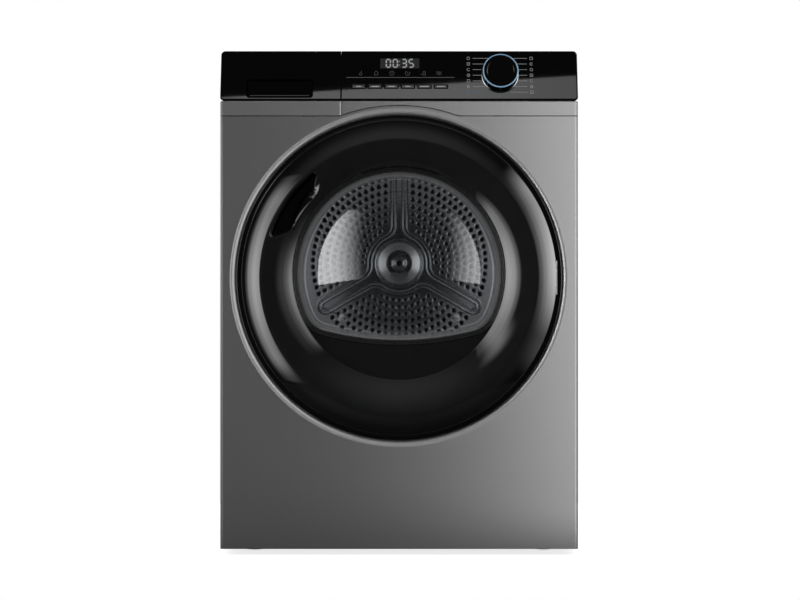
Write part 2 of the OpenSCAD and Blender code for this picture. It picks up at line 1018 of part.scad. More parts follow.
module hinge_leaf() {
    seat_y = hinge_h - frame_back - frame_t;
    color(steel) difference() {
        on_hinge(door_z - leaf_half, door_z + leaf_half) {
            circle(r = knuckle_r, $fn = 48);
            translate([-30, -3])
                square([30, 2.5]);
            translate([-30, -3])
                square([3, seat_y + 3 - 0.05]);
            translate([-44, seat_y - 2])
                square([17, 1.95]);
        }
        translate([hinge_x, front_y - hinge_h, door_z - 50])
            cylinder(h = 100, r = pin_r + running, $fn = 48);
    }
}

// ---- mouth and drum ----

module front_bulkhead() {
    y0 = bulkhead_y0;
    y1 = y0 + bulkhead_t;
    x = half_w - sheet - 0.4;
    pocket_x = filter_w / 2 + pocket_gap;
    py0 = filter_y0 - pocket_gap;
    py1 = filter_y0 + filter_t + pocket_gap;
    pocket_top = door_z - tunnel_r + 30;
    window_top = door_z - tunnel_r - 16;
    color(pale_plastic) difference() {
        union() {
            along_y(y0, y1)
                difference() {
                    union() {
                        translate([-x, 120])
                            square([2 * x, tank_z0 - 5 - 120]);
                        translate([tank_x1 + 6, 120])
                            square([x - tank_x1 - 6, 650]);
                    }
                    translate([0, door_z])
                        circle(r = tunnel_r);
                }
            along_y(tunnel_y0, y0 + 1)
                translate([0, door_z])
                    difference() {
                        circle(r = tunnel_r + tunnel_t);
                        circle(r = tunnel_r);
                    }
            span([-pocket_x - pocket_t, pocket_x + pocket_t], [py0 - pocket_t, py1 + pocket_t],
                 [filter_z0 - 3, pocket_top]);
            // Ribs that join the pocket to the plate
            for (rib_x = [-100, 0, 98])
                span([rib_x, rib_x + 2], [py1, y0 + 1], [filter_z0 - 3, door_z - tunnel_r - 1]);
            for (side = [-1, 1])
                bar_y(side * roller_x, roller_z, roller_axle_r, y1 - 1, drum_y0 + 30);
            for (side = [-1, 1])
                bar_y(side * roller_x, roller_z, roller_axle_r + 4, y1 - 1, y1 + 9);
        }
        bar_y(0, door_z, tunnel_r, tunnel_y0 - 1, y1 + 1);
        span([-pocket_x, pocket_x], [py0, py1], [filter_z0 - 1.5, door_z - 80]);
        // Air window in the front face of the filter pocket
        span([-90, 90], [py0 - 5, py0 + 1], [filter_z0 + 10, window_top]);
        // Opening of the front air duct to the coils
        span([-270, -125], [y0 - 1, y1 + 1], [130, 176]);
    }
}

module drum_felt_seals() {
    color([0.35, 0.33, 0.3]) translate([0, 0, drum_z]) {
        translate([0, drum_y0 - clearance, 0])
            rotate([90, 0, 0])
                difference() {
                    cylinder(h = drum_y0 - bulkhead_y0 - bulkhead_t - 2 * clearance, r = drum_r - 2);
                    translate([0, 0, -1])
                        cylinder(h = 30, r = drum_lip_r + 1);
                }
        translate([0, rear_y - sheet - 0.2, 0])
            rotate([90, 0, 0])
                difference() {
                    cylinder(h = rear_y - sheet - 0.2 - drum_y1 - clearance, r = drum_r - 1);
                    translate([0, 0, -1])
                        cylinder(h = 60, r = drum_r - 15);
                }
    }
}

module drum_shell() {
    color(steel) translate([0, drum_y0, drum_z])
        rotate([-90, 0, 0])
            rotate_extrude($fn = 144)
                polygon([
                    [drum_lip_r, 0], [drum_r, 0], [drum_r, drum_len], [drum_r - drum_t, drum_len],
                    [drum_r - drum_t, drum_t], [drum_lip_r, drum_t]]);
}

// Holes of the rear wall: arcs of holes in the three sectors between the arms. Each row has two
// more holes than the row inside it, and the innermost row leaves out its ends
module vents() {
    for (row = [0 : vent_row_count - 1], sector = [0 : 2]) {
        r = vent_row_r + row * vent_row_pitch;
        half = 60 - asin(vent_from_arm / r);
        count = 8 + 2 * row;
        ends = row == 0 ? 1 : 0;
        for (i = [ends : count - ends])
            rotate(sector * 120 + 30 - half + 2 * half * i / count)
                translate([r, 0])
                    circle(r = vent_r, $fn = 16);
    }
}

module arm_outline(w) {
    for (i = [0 : 2])
        rotate(90 + i * 120)
            loop_outline([[0, 0, w / 2], [arm_reach - arm_w / 2, 0, w / 2]]);
}

module drum_rear_wall() {
    boss_h = 10;
    color(steel) union() {
        translate([0, 0, drum_z])
            along_y(wall_y, wall_y + wall_t)
                difference() {
                    circle(r = wall_r - 0.05, $fn = 144);
                    vents();
                }
        // Raised bead round the arms and the hub
        translate([0, 0, drum_z])
            along_y(wall_y - bead_h, wall_y + 0.5)
                difference() {
                    union() {
                        arm_outline(arm_w + bead_w);
                        circle(r = hub_r + bead_w / 2);
                    }
                    arm_outline(arm_w - bead_w);
                    circle(r = hub_r - bead_w / 2);
                }
        // Rim, boss and axle of the hub
        translate([0, wall_y + 0.5, drum_z])
            rotate([90, 0, 0]) {
                difference() {
                    cylinder(h = bead_h, r = hub_rim_r);
                    translate([0, 0, -1])
                        cylinder(h = bead_h + 2, r = hub_rim_r - 7);
                }
                cylinder(h = boss_h, r1 = 28, r2 = 18);
            }
        bar_y(0, drum_z, axle_r, wall_y, rear_y - 3);
    }
}

// Section of a lifter, [distance from the axis, width], moved inwards by t
function lifter_section(t) =
    let (flat = 6, foot = 14, w = lifter_w / 2)
    [[drum_r, t - w], [drum_r - foot + t * 0.4, t - w],
     [drum_r - lifter_h + t, t * 0.6 - flat], [drum_r - lifter_h + t, flat - t * 0.6],
     [drum_r - foot + t * 0.4, w - t], [drum_r, w - t]];

module drum_lifters() {
    y0 = drum_y0 + 12;
    y1 = wall_y - 12;
    wall = 3;
    color(dark_plastic) translate([0, 0, drum_z])
        for (i = [0 : lifter_count - 1])
            rotate([0, 90 + i * 360 / lifter_count, 0])
                difference() {
                    along_y(y0, y1)
                        intersection() {
                            polygon(lifter_section(0));
                            circle(r = wall_r - 0.2, $fn = 144);
                        }
                    along_y(y0 + wall, y1 - wall)
                        polygon(lifter_section(wall));
                }
}

module drum_bearing() {
    color(zinc) difference() {
        union() {
            bar_y(0, drum_z, 40, rear_y - sheet - 2.7, rear_y - sheet - 0.2);
            bar_y(0, drum_z, 20, rear_y - sheet - 11, rear_y - sheet - 0.2);
        }
        bar_y(0, drum_z, axle_r + running, rear_y - 30, rear_y + 10);
    }
}

module lint_filter() {
    x = filter_w / 2;
    color(dark_plastic) difference() {
        span([-x, x], [filter_y0, filter_y0 + filter_t], [filter_z0, filter_z1]);
        span([-x + 8, x - 8], [filter_y0 + 2, filter_y0 + filter_t - 2], [filter_z0 + 8, filter_z1 + 1]);
        for (i = [0 : 4], z = [filter_z0 + 12, filter_z0 + 62])
            span([-x + 12 + i * 39, -x + 47 + i * 39],
                 [filter_y0 - 1, filter_y0 + filter_t + 1], [z, z + 40]);
    }
}

// ---- drive ----

// Belt circles in order round the loop: [x, height, radius]
function belt_circles(t) = [
    [0, drum_z, drum_r + clearance + t],
    [motor_x, motor_z, pulley_r + clearance + t],
    [idler_x, idler_z, idler_r + clearance + t]];

module drum_belt() {
    color(rubber) along_y(belt_y - belt_w / 2, belt_y + belt_w / 2)
        difference() {
            loop_outline(belt_circles(belt_t));
            loop_outline(belt_circles(0));
        }
}

module drive_motor() {
    color(steel) difference() {
        union() {
            bar_y(motor_x, motor_z, motor_r, motor_y0 + 12, motor_y1 - 12);
            bar_y(motor_x, motor_z, motor_r - 12, motor_y0, motor_y1);
            span([motor_x - 40, motor_x + 40], [motor_y0 + 18, motor_y1 - 18], [deck_z + 0.1, motor_z - 30]);
            // Bracket that holds the idler's pivot pin
            span([motor_x - 10, pivot_x + 14], [motor_y0 - 8, motor_y0 - 4], [deck_z + 0.1, 74]);
            span([motor_x - 10, motor_x + 30], [motor_y0 - 8, motor_y0 + 20], [deck_z + 0.1, deck_z + 5]);
            bar_y(pivot_x, pivot_z, pivot_r, arm_y - 6, motor_y0 - 5);
        }
        bar_y(motor_x, motor_z, shaft_r + running, 0, 300);
    }
}

module motor_shaft() {
    color(steel) union() {
        bar_y(motor_x, motor_z, shaft_r, belt_y - 10, fan_y1 + 4);
        bar_y(motor_x, motor_z, pulley_r, belt_y - 7, belt_y + 7);
        bar_y(motor_x, motor_z, pulley_r + 3, belt_y + 7, belt_y + 9);
        bar_y(motor_x, motor_z, pulley_r + 3, belt_y - 9, belt_y - 7);
    }
}

module process_fan() {
    color(dark_plastic) translate([motor_x, 0, motor_z]) difference() {
        union() {
            bar_y(0, 0, 18, fan_y0, fan_y1);
            bar_y(0, 0, fan_r, fan_y1 - 3, fan_y1);
            translate([0, fan_y0 + 3, 0])
                rotate([90, 0, 0])
                    difference() {
                        cylinder(h = 3, r = fan_r);
                        translate([0, 0, -1])
                            cylinder(h = 6, r = fan_r - 16);
                    }
            for (i = [0 : blade_count - 1])
                rotate([0, i * 360 / blade_count, 0])
                    translate([fan_r - 15, fan_y0 + 1, 0])
                        rotate([0, 25, 0])
                            cube([15, fan_y1 - fan_y0 - 2, 1.6]);
        }
        bar_y(0, 0, shaft_r + 0.01, 0, 300);
    }
}

module fan_housing() {
    y0 = fan_y0 - 8;
    y1 = rear_y - sheet - 0.2;
    color(pale_plastic) translate([motor_x, 0, motor_z]) difference() {
        union() {
            bar_y(0, 0, fan_case_r, y0, y1);
            span([-30, 30], [y0 + 4, y1 - 20], [deck_z + 0.1 - motor_z, -70]);
        }
        bar_y(0, 0, fan_case_r - 2.5, y0 + 2.5, y1 + 1);
        bar_y(0, 0, 46, y0 - 1, y1);
    }
}

module roller(x) {
    y0 = bulkhead_y0 + bulkhead_t + 9.5;
    color(rubber) difference() {
        bar_y(x, roller_z, roller_r, y0, y0 + roller_w);
        bar_y(x, roller_z, roller_axle_r + running, y0 - 5, y0 + roller_w + 5);
    }
}

module left_support_roller() {
    roller(-roller_x);
}

module right_support_roller() {
    roller(roller_x);
}

module idler_arm() {
    color(zinc) difference() {
        union() {
            along_y(arm_y, arm_y + 4)
                loop_outline([[pivot_x, pivot_z, 10], [idler_x, idler_z, 8]]);
            bar_y(idler_x, idler_z, 4, belt_y - 10, arm_y + 0.5);
            bar_y(pivot_x, pivot_z, 12, arm_y - 3, arm_y + 10);
        }
        bar_y(pivot_x, pivot_z, pivot_r + running, 0, 100);
    }
}

module idler_pulley() {
    color(dark_plastic) difference() {
        union() {
            bar_y(idler_x, idler_z, idler_r, belt_y - 7, belt_y + 7);
            bar_y(idler_x, idler_z, idler_r + 3, belt_y + 7, belt_y + 9);
            bar_y(idler_x, idler_z, idler_r + 3, belt_y - 9, belt_y - 7);
        }
        bar_y(idler_x, idler_z, 4 + running, 0, 60);
    }
}

// ---- heat pump ----

// Finned coil between two depths, with rows of tubes through the fins
module coil(y0, y1) {
    pitch = (coil_x1 - coil_x0 - fin_t) / (fin_count - 1);
    rows = floor((y1 - y0) / 26);
    levels = 5;
    union() {
        for (i = [0 : fin_count - 1])
            span([coil_x0 + i * pitch, coil_x0 + i * pitch + fin_t], [y0, y1], [coil_z0, coil_z1]);
        for (i = [0 : rows - 1], k = [0 : levels - 1])
            translate([coil_x0 - 6, y0 + (i + 0.5) * (y1 - y0) / rows,
                       coil_z0 + (k + 0.5) * (coil_z1 - coil_z0) / levels])
                rotate([0, 90, 0])
                    cylinder(h = coil_x1 - coil_x0 + 10, r = tube_r, $fn = 24);
    }
}

module evaporator() {
    color([0.75, 0.76, 0.78])
        coil(evaporator_y0, evaporator_y1);
}

module condenser() {
    color([0.75, 0.76, 0.78])
        coil(condenser_y0, condenser_y1);
}

module compressor() {
    dome = 16;
    color([0.1, 0.1, 0.11]) translate([compressor_x, compressor_y, 0]) {
        translate([0, 0, compressor_z0])
            cylinder(h = compressor_z1 - compressor_z0, r = compressor_r);
        translate([0, 0, compressor_z1])
            cylinder(h = dome, r1 = compressor_r, r2 = compressor_r - 22);
        translate([0, 0, compressor_z0 - 12])
            cylinder(h = 12, r1 = compressor_r - 18, r2 = compressor_r);
        for (i = [0 : 2])
            rotate(i * 120 + 30) {
                translate([0, -14, compressor_z0 - 14])
                    cube([compressor_r + 8, 28, 3]);
                translate([compressor_r - 4, 0, deck_z + 0.1])
                    cylinder(h = compressor_z0 - 14 - deck_z, r = 9);
            }
    }
}

module refrigerant_pipes() {
    z_low = 36;
    color(copper) union() {
        // Hot gas from the compressor's head to the condenser
        pipe([[compressor_x, compressor_y, compressor_z1 + 16.5], [compressor_x, compressor_y, 232],
              [compressor_x, 196, 232], [60, 196, 206], [-40, 196, 206], [-66, 196, 160],
              [-66, 90, 160]], 4, 8);
        // Cold gas from the evaporator back to the compressor's side
        pipe([[-66, -62, z_low], [-66, -96, z_low], [180, -96, z_low], [180, 40, z_low],
              [compressor_x, 40, 70], [compressor_x, 73.5, 70]], 5);
        // Liquid line with its drier, lying across the front of the tray
        pipe([[-66, -4, 60], [-20, -4, 60], [-20, -64, 60]], 3);
        pipe([[-20, -106, 60], [-20, -140, 60], [-66, -140, 60]], 3);
        bar_y(-20, 60, 11, -110, -60);
    }
}

module condensate_pump() {
    hose_x = -290.5;
    hose_y = 303;
    color(dark_plastic) union() {
        span([-262, -204], [170, 226], [deck_z + 0.1, 66]);
        translate([-233, 198, 66])
            cylinder(h = 30, r = 20);
        // Riser hose to the tank's housing
        pipe([[-233, 198, 90], [-233, 198, 130], [-262, 290, 130], [hose_x, hose_y, 180],
              [hose_x, hose_y, 800], [-262, hose_y, 806], [-262, tank_y0 + tank_len + 14, 806]], 4);
    }
}

// ---- assembly ----

base_tray();
left_side_panel();
right_side_panel();
rear_panel();
rear_duct_cover();
top_cover();
front_panel();
front_bulkhead();
control_panel();
control_panel_trim();
control_box();
display_window();
drum_felt_seals();
drum_bearing();
drum_belt();
drive_motor();
fan_housing();
evaporator();
condenser();
compressor();
refrigerant_pipes();
condensate_pump();
tank_housing();
hinge_bracket();
door_lock();
cabinet_screws();
mains_inlet();
door_cover();
window_surround();
door_back_frame();
window_gasket();
window_glass();
door_handle_cup();
hinge_leaf();
door_hook();
door_seal();
drum_shell();
drum_rear_wall();
drum_lifters();
motor_shaft();
process_fan();
left_support_roller();
right_support_roller();
idler_arm();
idler_pulley();
water_tank();
tank_drawer_front();
tank_drawer_trim();
lint_filter();
selector_knob();
key_1();
key_2();
key_3();
key_4();
key_5();
key_6();
front_left_foot();
front_right_foot();
rear_left_foot();
rear_right_foot();
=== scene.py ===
"""Looks of a heat-pump clothes dryer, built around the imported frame.

Everything is in metres in the frame's own axes: +X to the right as seen from the front, +Y to the
rear, +Z up. Shapes on the door are written about the door's centre, with their height above the
front panel, and shapes on the hood are written along X and up the leaning face. Profiles and
printed marks are written in millimetres.
"""

import math

import bmesh
import bpy
import numpy as np
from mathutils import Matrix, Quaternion, Vector
from mathutils.geometry import delaunay_2d_cdt


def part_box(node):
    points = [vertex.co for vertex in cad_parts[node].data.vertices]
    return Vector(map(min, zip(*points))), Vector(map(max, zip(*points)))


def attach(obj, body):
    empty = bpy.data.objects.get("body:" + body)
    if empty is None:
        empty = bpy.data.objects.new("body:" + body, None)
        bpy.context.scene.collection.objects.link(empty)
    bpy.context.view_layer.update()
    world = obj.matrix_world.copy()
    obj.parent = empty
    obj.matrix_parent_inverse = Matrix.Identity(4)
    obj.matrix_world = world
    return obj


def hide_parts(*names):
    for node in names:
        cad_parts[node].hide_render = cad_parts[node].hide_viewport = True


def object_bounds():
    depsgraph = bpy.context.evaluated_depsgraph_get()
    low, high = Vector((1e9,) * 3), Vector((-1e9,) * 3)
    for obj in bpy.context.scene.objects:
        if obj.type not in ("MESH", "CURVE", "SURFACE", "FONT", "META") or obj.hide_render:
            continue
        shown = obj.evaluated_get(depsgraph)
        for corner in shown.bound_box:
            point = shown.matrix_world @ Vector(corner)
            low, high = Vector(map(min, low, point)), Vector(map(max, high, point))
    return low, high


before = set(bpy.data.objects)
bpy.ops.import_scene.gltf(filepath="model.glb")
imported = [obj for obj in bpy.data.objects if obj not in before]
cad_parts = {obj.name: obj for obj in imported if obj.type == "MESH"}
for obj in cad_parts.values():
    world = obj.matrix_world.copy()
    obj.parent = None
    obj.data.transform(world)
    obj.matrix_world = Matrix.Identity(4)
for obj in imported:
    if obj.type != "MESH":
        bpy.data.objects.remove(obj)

cad_box = [list(corner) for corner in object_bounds()]
MM = 0.001


def middle(node):
    """Centre of a CAD node's box."""
    low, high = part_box(node)
    return (low + high) / 2


def size(node):
    """Width, depth and height of a CAD node's box."""
    low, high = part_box(node)
    return high - low


# ---- places taken from the frame ----

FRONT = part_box("front_panel")[0].y
HALF_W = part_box("front_panel")[1].x
FOOT_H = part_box("front_panel")[0].z
TOP = cad_box[1][2]
SEAM_GAP = 1.2 * MM
SEAM_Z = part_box("control_panel_trim")[0].z - SEAM_GAP
HOOD_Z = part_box("control_panel")[0].z
HOOD_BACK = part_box("control_panel")[1].y
HOOD_TILT = math.radians(15)
DRAWER_X = (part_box("tank_drawer_front")[1].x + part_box("control_panel")[0].x) / 2
DRAWER_GAP = (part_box("control_panel")[0].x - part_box("tank_drawer_front")[1].x) / 2

DOOR = middle("door_cover")
DOOR_R = size("door_cover").x / 2
DOOR_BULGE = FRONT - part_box("door_cover")[0].y
WINDOW_R = size("window_gasket").x / 2
WINDOW_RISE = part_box("window_gasket")[1].z - WINDOW_R - DOOR.z
WAVE_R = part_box("front_panel")[1].z - DOOR.z

DRUM = middle("drum_shell")
DRUM_R = size("drum_shell").x / 2
WALL_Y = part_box("drum_shell")[1].y - 10 * MM
KNOB = middle("selector_knob")


# ---- small tools ----

def sind(angle):
    """Sine of an angle in degrees."""
    return math.sin(math.radians(angle))


def cosd(angle):
    """Cosine of an angle in degrees."""
    return math.cos(math.radians(angle))


def arc(centre, radius, start, end, steps):
    """Points of an arc in a plane, angles in degrees, both ends included."""
    angles = np.radians(np.linspace(start, end, steps + 1))
    return np.stack([centre[0] + radius * np.cos(angles), centre[1] + radius * np.sin(angles)], 1)


def circle(radius, steps=96, centre=(0, 0)):
    """Points of a whole circle in a plane."""
    return arc(centre, radius, 0, 360, steps)[:-1]


def quarter(steps):
    """Angles from 0 to a right angle."""
    return np.radians(np.linspace(0, 90, steps + 1))


def on_door(x, height, z):
    """Places in the frame, given about the door's centre and by their height above the panel."""
    return np.stack([x, FRONT - height + 0 * x, z + DOOR.z], -1)


def hood_y(z):
    """Depth of the hood's leaning face at a height."""
    return FRONT - 2 * MM + (z - HOOD_Z) * math.tan(HOOD_TILT)


def on_hood(x, up, out):
    """A place given along X, by its distance up the hood's face and how far it stands out."""
    return Vector((x, hood_y(HOOD_Z) + up * math.sin(HOOD_TILT) - out * math.cos(HOOD_TILT),
                   HOOD_Z + up * math.cos(HOOD_TILT) + out * math.sin(HOOD_TILT)))


def up_hood(z):
    """Distance up the hood's face of a point at a height."""
    return (z - HOOD_Z) / math.cos(HOOD_TILT)


def loft(rings, ring_closed=True, tube_closed=False, cap_first=False, cap_last=False):
    """Vertices and faces of a skin over rings that all have the same number of points."""
    count = len(rings[0])
    verts = [tuple(p) for ring in rings for p in ring]
    faces = []
    for i in range(len(rings) if tube_closed else len(rings) - 1):
        a, b = i * count, (i + 1) % len(rings) * count
        for k in range(count if ring_closed else count - 1):
            m = (k + 1) % count
            faces.append((a + k, a + m, b + m, b + k))
    if cap_first:
        faces.append(tuple(range(count - 1, -1, -1)))
    if cap_last:
        faces.append(tuple(range(len(verts) - count, len(verts))))
    return verts, faces


def merged(*parts):
    """Several (vertices, faces) pairs as one."""
    verts, faces = [], []
    for part_verts, part_faces in parts:
        start = len(verts)
        verts += part_verts
        faces += [tuple(i + start for i in face) for face in part_faces]
    return verts, faces


def inside(points, loop):
    """Which of some points lie inside a closed outline."""
    hit = np.zeros(len(points), bool)
    x, y = points[:, 0], points[:, 1]
    for (x0, y0), (x1, y1) in zip(loop, np.roll(loop, -1, axis=0)):
        if y0 != y1:
            hit ^= ((y0 > y) != (y1 > y)) & (x < (x1 - x0) * (y - y0) / (y1 - y0) + x0)
    return hit


def filled(outline, place, holes=()):
    """Triangles inside an outline and outside its holes, as (vertices, faces)."""
    loops = [np.asarray(loop, float) for loop in (outline, *holes)]
    edges, start = [], 0
    for loop in loops:
        n = len(loop)
        edges += [(start + i, start + (i + 1) % n) for i in range(n)]
        start += n
    points = [Vector(p) for loop in loops for p in loop]
    verts, _, tris, _, _, _ = delaunay_2d_cdt(points, edges, [], 1, 1e-7)
    flat = np.array([(v.x, v.y) for v in verts])
    centres = np.array([flat[list(t)].mean(axis=0) for t in tris])
    kept = inside(centres, loops[0])
    for hole in loops[1:]:
        kept &= ~inside(centres, hole)
    return [tuple(place(v)) for v in flat], [tuple(t) for t, k in zip(tris, kept) if k]


def piece(name, shape, body, slot, replaces=(), finish=None, sharp=35, solidify=None, flat_first=True):
    """Makes an object from (vertices, faces), gives it its finish and lets it ride on a body.

    Without a finish of its own it takes its slot's. sharp is the angle from which edges are hard,
    solidify is a thickness behind the surface, and flat_first lets large faces lead the shading.
    """
    verts, faces = shape
    mesh = bpy.data.meshes.new(name)
    mesh.from_pydata(verts, [], faces)
    bm = bmesh.new()
    bm.from_mesh(mesh)
    bmesh.ops.remove_doubles(bm, verts=bm.verts, dist=1e-6)
    bmesh.ops.recalc_face_normals(bm, faces=bm.faces)
    bm.to_mesh(mesh)
    bm.free()
    obj = bpy.data.objects.new(name, mesh)
    bpy.context.scene.collection.objects.link(obj)
    mesh.materials.append(finish or FINISHES[slot])
    mesh.shade_smooth()
    mesh.set_sharp_from_angle(angle=math.radians(sharp))
    if solidify:
        modifier = obj.modifiers.new("thickness", "SOLIDIFY")
        modifier.thickness = solidify
        modifier.offset = -1
    if flat_first:
        modifier = obj.modifiers.new("flats", "WEIGHTED_NORMAL")
        modifier.keep_sharp = True
        modifier.weight = 80
    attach(obj, body)
    if replaces:
        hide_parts(*replaces)
    return obj


# ---- finishes ----

NOISE_LOW, NOISE_HIGH = 0.3, 0.7


def fill(tree, node, inputs):
    """Gives a node's inputs their values, or joins them to other nodes' outputs."""
    for key, value in inputs.items():
        if isinstance(value, bpy.types.NodeSocket):
            tree.links.new(value, node.inputs[key])
        else:
            node.inputs[key].default_value = value


def add(tree, kind, inputs=None, **settings):
    """A new shader node with its settings and its inputs."""
    node = tree.nodes.new("ShaderNode" + kind)
    for key, value in settings.items():
        setattr(node, key, value)
    fill(tree, node, inputs or {})
    return node


def shader(name, inputs):
    """A new material, its node tree and its main shader."""
    material = bpy.data.materials.new(name)
    material.use_nodes = True
    tree = material.node_tree
    main = tree.nodes["Principled BSDF"]
    fill(tree, main, inputs)
    return material, tree, main


def noise(tree, scale, detail=2.0, stretch=None):
    """Noise over the object's own coordinates, in cells per metre."""
    where = add(tree, "TexCoord").outputs["Object"]
    if stretch:
        where = add(tree, "Mapping", {"Scale": stretch, "Vector": where}).outputs["Vector"]
    return add(tree, "TexNoise", {"Scale": scale, "Detail": detail, "Vector": where}).outputs["Fac"]


def tinted(tree, main, texture, low, high):
    """Lets a texture vary the colour between two values."""
    ramp = add(tree, "ValToRGB", {"Fac": texture})
    marks = ramp.color_ramp.elements
    marks[0].position, marks[0].color = NOISE_LOW, (*low, 1)
    marks[1].position, marks[1].color = NOISE_HIGH, (*high, 1)
    fill(tree, main, {"Base Color": ramp.outputs["Color"]})


def ranged(tree, main, texture, low, high):
    """Lets a texture vary the roughness between two values."""
    spread = add(tree, "MapRange", {"From Min": NOISE_LOW, "From Max": NOISE_HIGH, "To Min": low,
                                    "To Max": high, "Value": texture})
    fill(tree, main, {"Roughness": spread.outputs["Result"]})


def bumped(tree, main, texture, distance, strength):
    """Raises the surface by a texture, by a distance in metres."""
    bump = add(tree, "Bump", {"Distance": distance, "Strength": strength, "Height": texture})
    fill(tree, main, {"Normal": bump.outputs["Normal"]})


def grey(value, warm=0.0):
    """A grey, a little warm or cold."""
    return (value * (1 + warm), value, value * (1 - warm))


def painted_metal(name, value, metallic=0.85, rough=0.36):
    """Metallic lacquer on sheet steel: fine flake in colour and gloss, with a slight ripple."""
    material, tree, main = shader(name, {"Metallic": metallic})
    flake = noise(tree, 2200, 1)
    tinted(tree, main, flake, grey(value * 0.93), grey(value * 1.07))
    ranged(tree, main, flake, rough - 0.03, rough + 0.03)
    bumped(tree, main, noise(tree, 900), 0.00002, 0.15)
    return material


def gloss(name, value, rough=0.045, level=0.5):
    """Polished black plastic with a very slight unevenness in its gloss."""
    material, tree, main = shader(name, {"Specular IOR Level": level})
    haze = noise(tree, 30, 3)
    tinted(tree, main, haze, grey(value * 0.9, -0.02), grey(value * 1.1, -0.02))
    ranged(tree, main, haze, rough * 0.85, rough * 1.15)
    return material


def moulded(name, value, rough, grain=1400, warm=0.0):
    """Moulded plastic or rubber with a fine spark-eroded grain."""
    material, tree, main = shader(name, {})
    cells = noise(tree, grain)
    tinted(tree, main, noise(tree, 12, 3), grey(value * 0.92, warm), grey(value * 1.08, warm))
    ranged(tree, main, cells, rough - 0.06, rough + 0.06)
    bumped(tree, main, cells, 0.00008, 0.3)
    return material


def bare_metal(name, colour, rough, stretch=(1, 30, 30)):
    """Bare metal with the lines that rolling or turning leaves."""
    material, tree, main = shader(name, {"Metallic": 1.0})
    lines = noise(tree, 60, 4, stretch)
    tinted(tree, main, lines, tuple(c * 0.88 for c in colour), colour)
    ranged(tree, main, lines, rough - 0.05, rough + 0.08)
    return material


def galvanised(name):
    """Zinc coat with its large pale crystals."""
    material, tree, main = shader(name, {"Metallic": 0.9})
    where = add(tree, "TexCoord").outputs["Object"]
    cells = add(tree, "TexVoronoi", {"Scale": 70, "Vector": where}).outputs["Color"]
    hue = add(tree, "SeparateColor", {"Color": cells}).outputs["Red"]
    for low, high, key in ((0.42, 0.56, "Base Color"), (0.34, 0.5, "Roughness")):
        spread = add(tree, "MapRange", {"To Min": low, "To Max": high, "Value": hue})
        fill(tree, main, {key: spread.outputs["Result"]})
    return material


def felt(name):
    """Pressed wool felt: soft, hairy and uneven."""
    material, tree, main = shader(name, {"Roughness": 0.95, "Sheen Weight": 0.4})
    fibres = noise(tree, 700, 6)
    tinted(tree, main, fibres, (0.1, 0.09, 0.08), (0.2, 0.185, 0.165))
    bumped(tree, main, fibres, 0.0006, 0.6)
    return material


def seen_through(name, tint, share, rough, level, body):
    """Thin clear glass: a tinted see-through share mixed with a polished surface."""
    material, tree, main = shader(name, {"Base Color": (*grey(body, -0.03), 1), "Specular IOR Level": level})
    ranged(tree, main, noise(tree, 20), rough * 0.8, rough * 1.2)
    clear = add(tree, "BsdfTransparent", {"Color": (*tint, 1)})
    mix = add(tree, "MixShader", {"Fac": share, 1: clear.outputs["BSDF"], 2: main.outputs["BSDF"]})
    fill(tree, tree.nodes["Material Output"], {"Surface": mix.outputs["Shader"]})
    return material


def printed(name, colour, glow):
    """Screen-printed ink with a painted glow, or the lit part of a display."""
    material, tree, main = shader(name, {"Roughness": 0.5, "Emission Color": (*colour, 1),
                                         "Emission Strength": glow})
    tinted(tree, main, noise(tree, 4000, 1), tuple(c * 0.94 for c in colour), colour)
    return material


FINISHES = {name: make(name, *values) for name, make, *values in (
    ("graphite_steel", painted_metal, 0.17),
    ("graphite_trim", painted_metal, 0.17, 0.8, 0.38),
    ("top_board", painted_metal, 0.15, 0.5, 0.45),
    ("gloss_black", gloss, 0.0022, 0.02),
    ("dark_plastic", moulded, 0.012, 0.42),
    ("pale_plastic", moulded, 0.55, 0.45, 900, 0.02),
    ("tank_plastic", moulded, 0.5, 0.3, 500, -0.03),
    ("window_glass", seen_through, (0.86, 0.88, 0.89), 0.35, 0.02, 1.0, 0.004),
    ("display_glass", gloss, 0.045, 0.12, 0.3),
    ("galvanised", galvanised),
    ("drum_steel", bare_metal, (0.5, 0.5, 0.52), 0.2, (12, 1, 12)),
    ("bare_steel", bare_metal, (0.46, 0.46, 0.47), 0.22),
    ("fin_aluminium", bare_metal, (0.66, 0.67, 0.68), 0.35, (1, 8, 8)),
    ("copper_pipe", bare_metal, (0.72, 0.36, 0.22), 0.28, (6, 6, 6)),
    ("black_enamel", gloss, 0.012, 0.3),
    ("felt", felt),
    ("black_rubber", moulded, 0.006, 0.24, 600))}
# The three inks glow a little: painted light that keeps the printed marks bright under any lamp
INK = printed("grey_ink", (0.3, 0.31, 0.31), 0.5)
FAINT_INK = printed("faint_ink", (0.08, 0.085, 0.085), 0.4)
BLUE_INK = printed("blue_ink", (0.06, 0.13, 0.19), 0.6)
DIGITS = printed("display_digits", (0.3, 0.31, 0.3), 0.5)
DARK_CHROME = bare_metal("dark_chrome", (0.16, 0.165, 0.17), 0.12, (8, 8, 8))
# Painted glow: the knob's thin blue-tinted chrome ring shines by its own emission, not by reflected light
RING_PAINTED_GLOW = printed("knob_ring_lit", (0.16, 0.28, 0.4), 0.5)
KEY_GREY = moulded("key_grey", 0.14, 0.4)
DOOR_BLACK = gloss("door_black", 0.009)
GLASS_RIM = seen_through("glass_rim", (0.45, 0.46, 0.47), 0.6, 0.2, 0.5, 0.12)


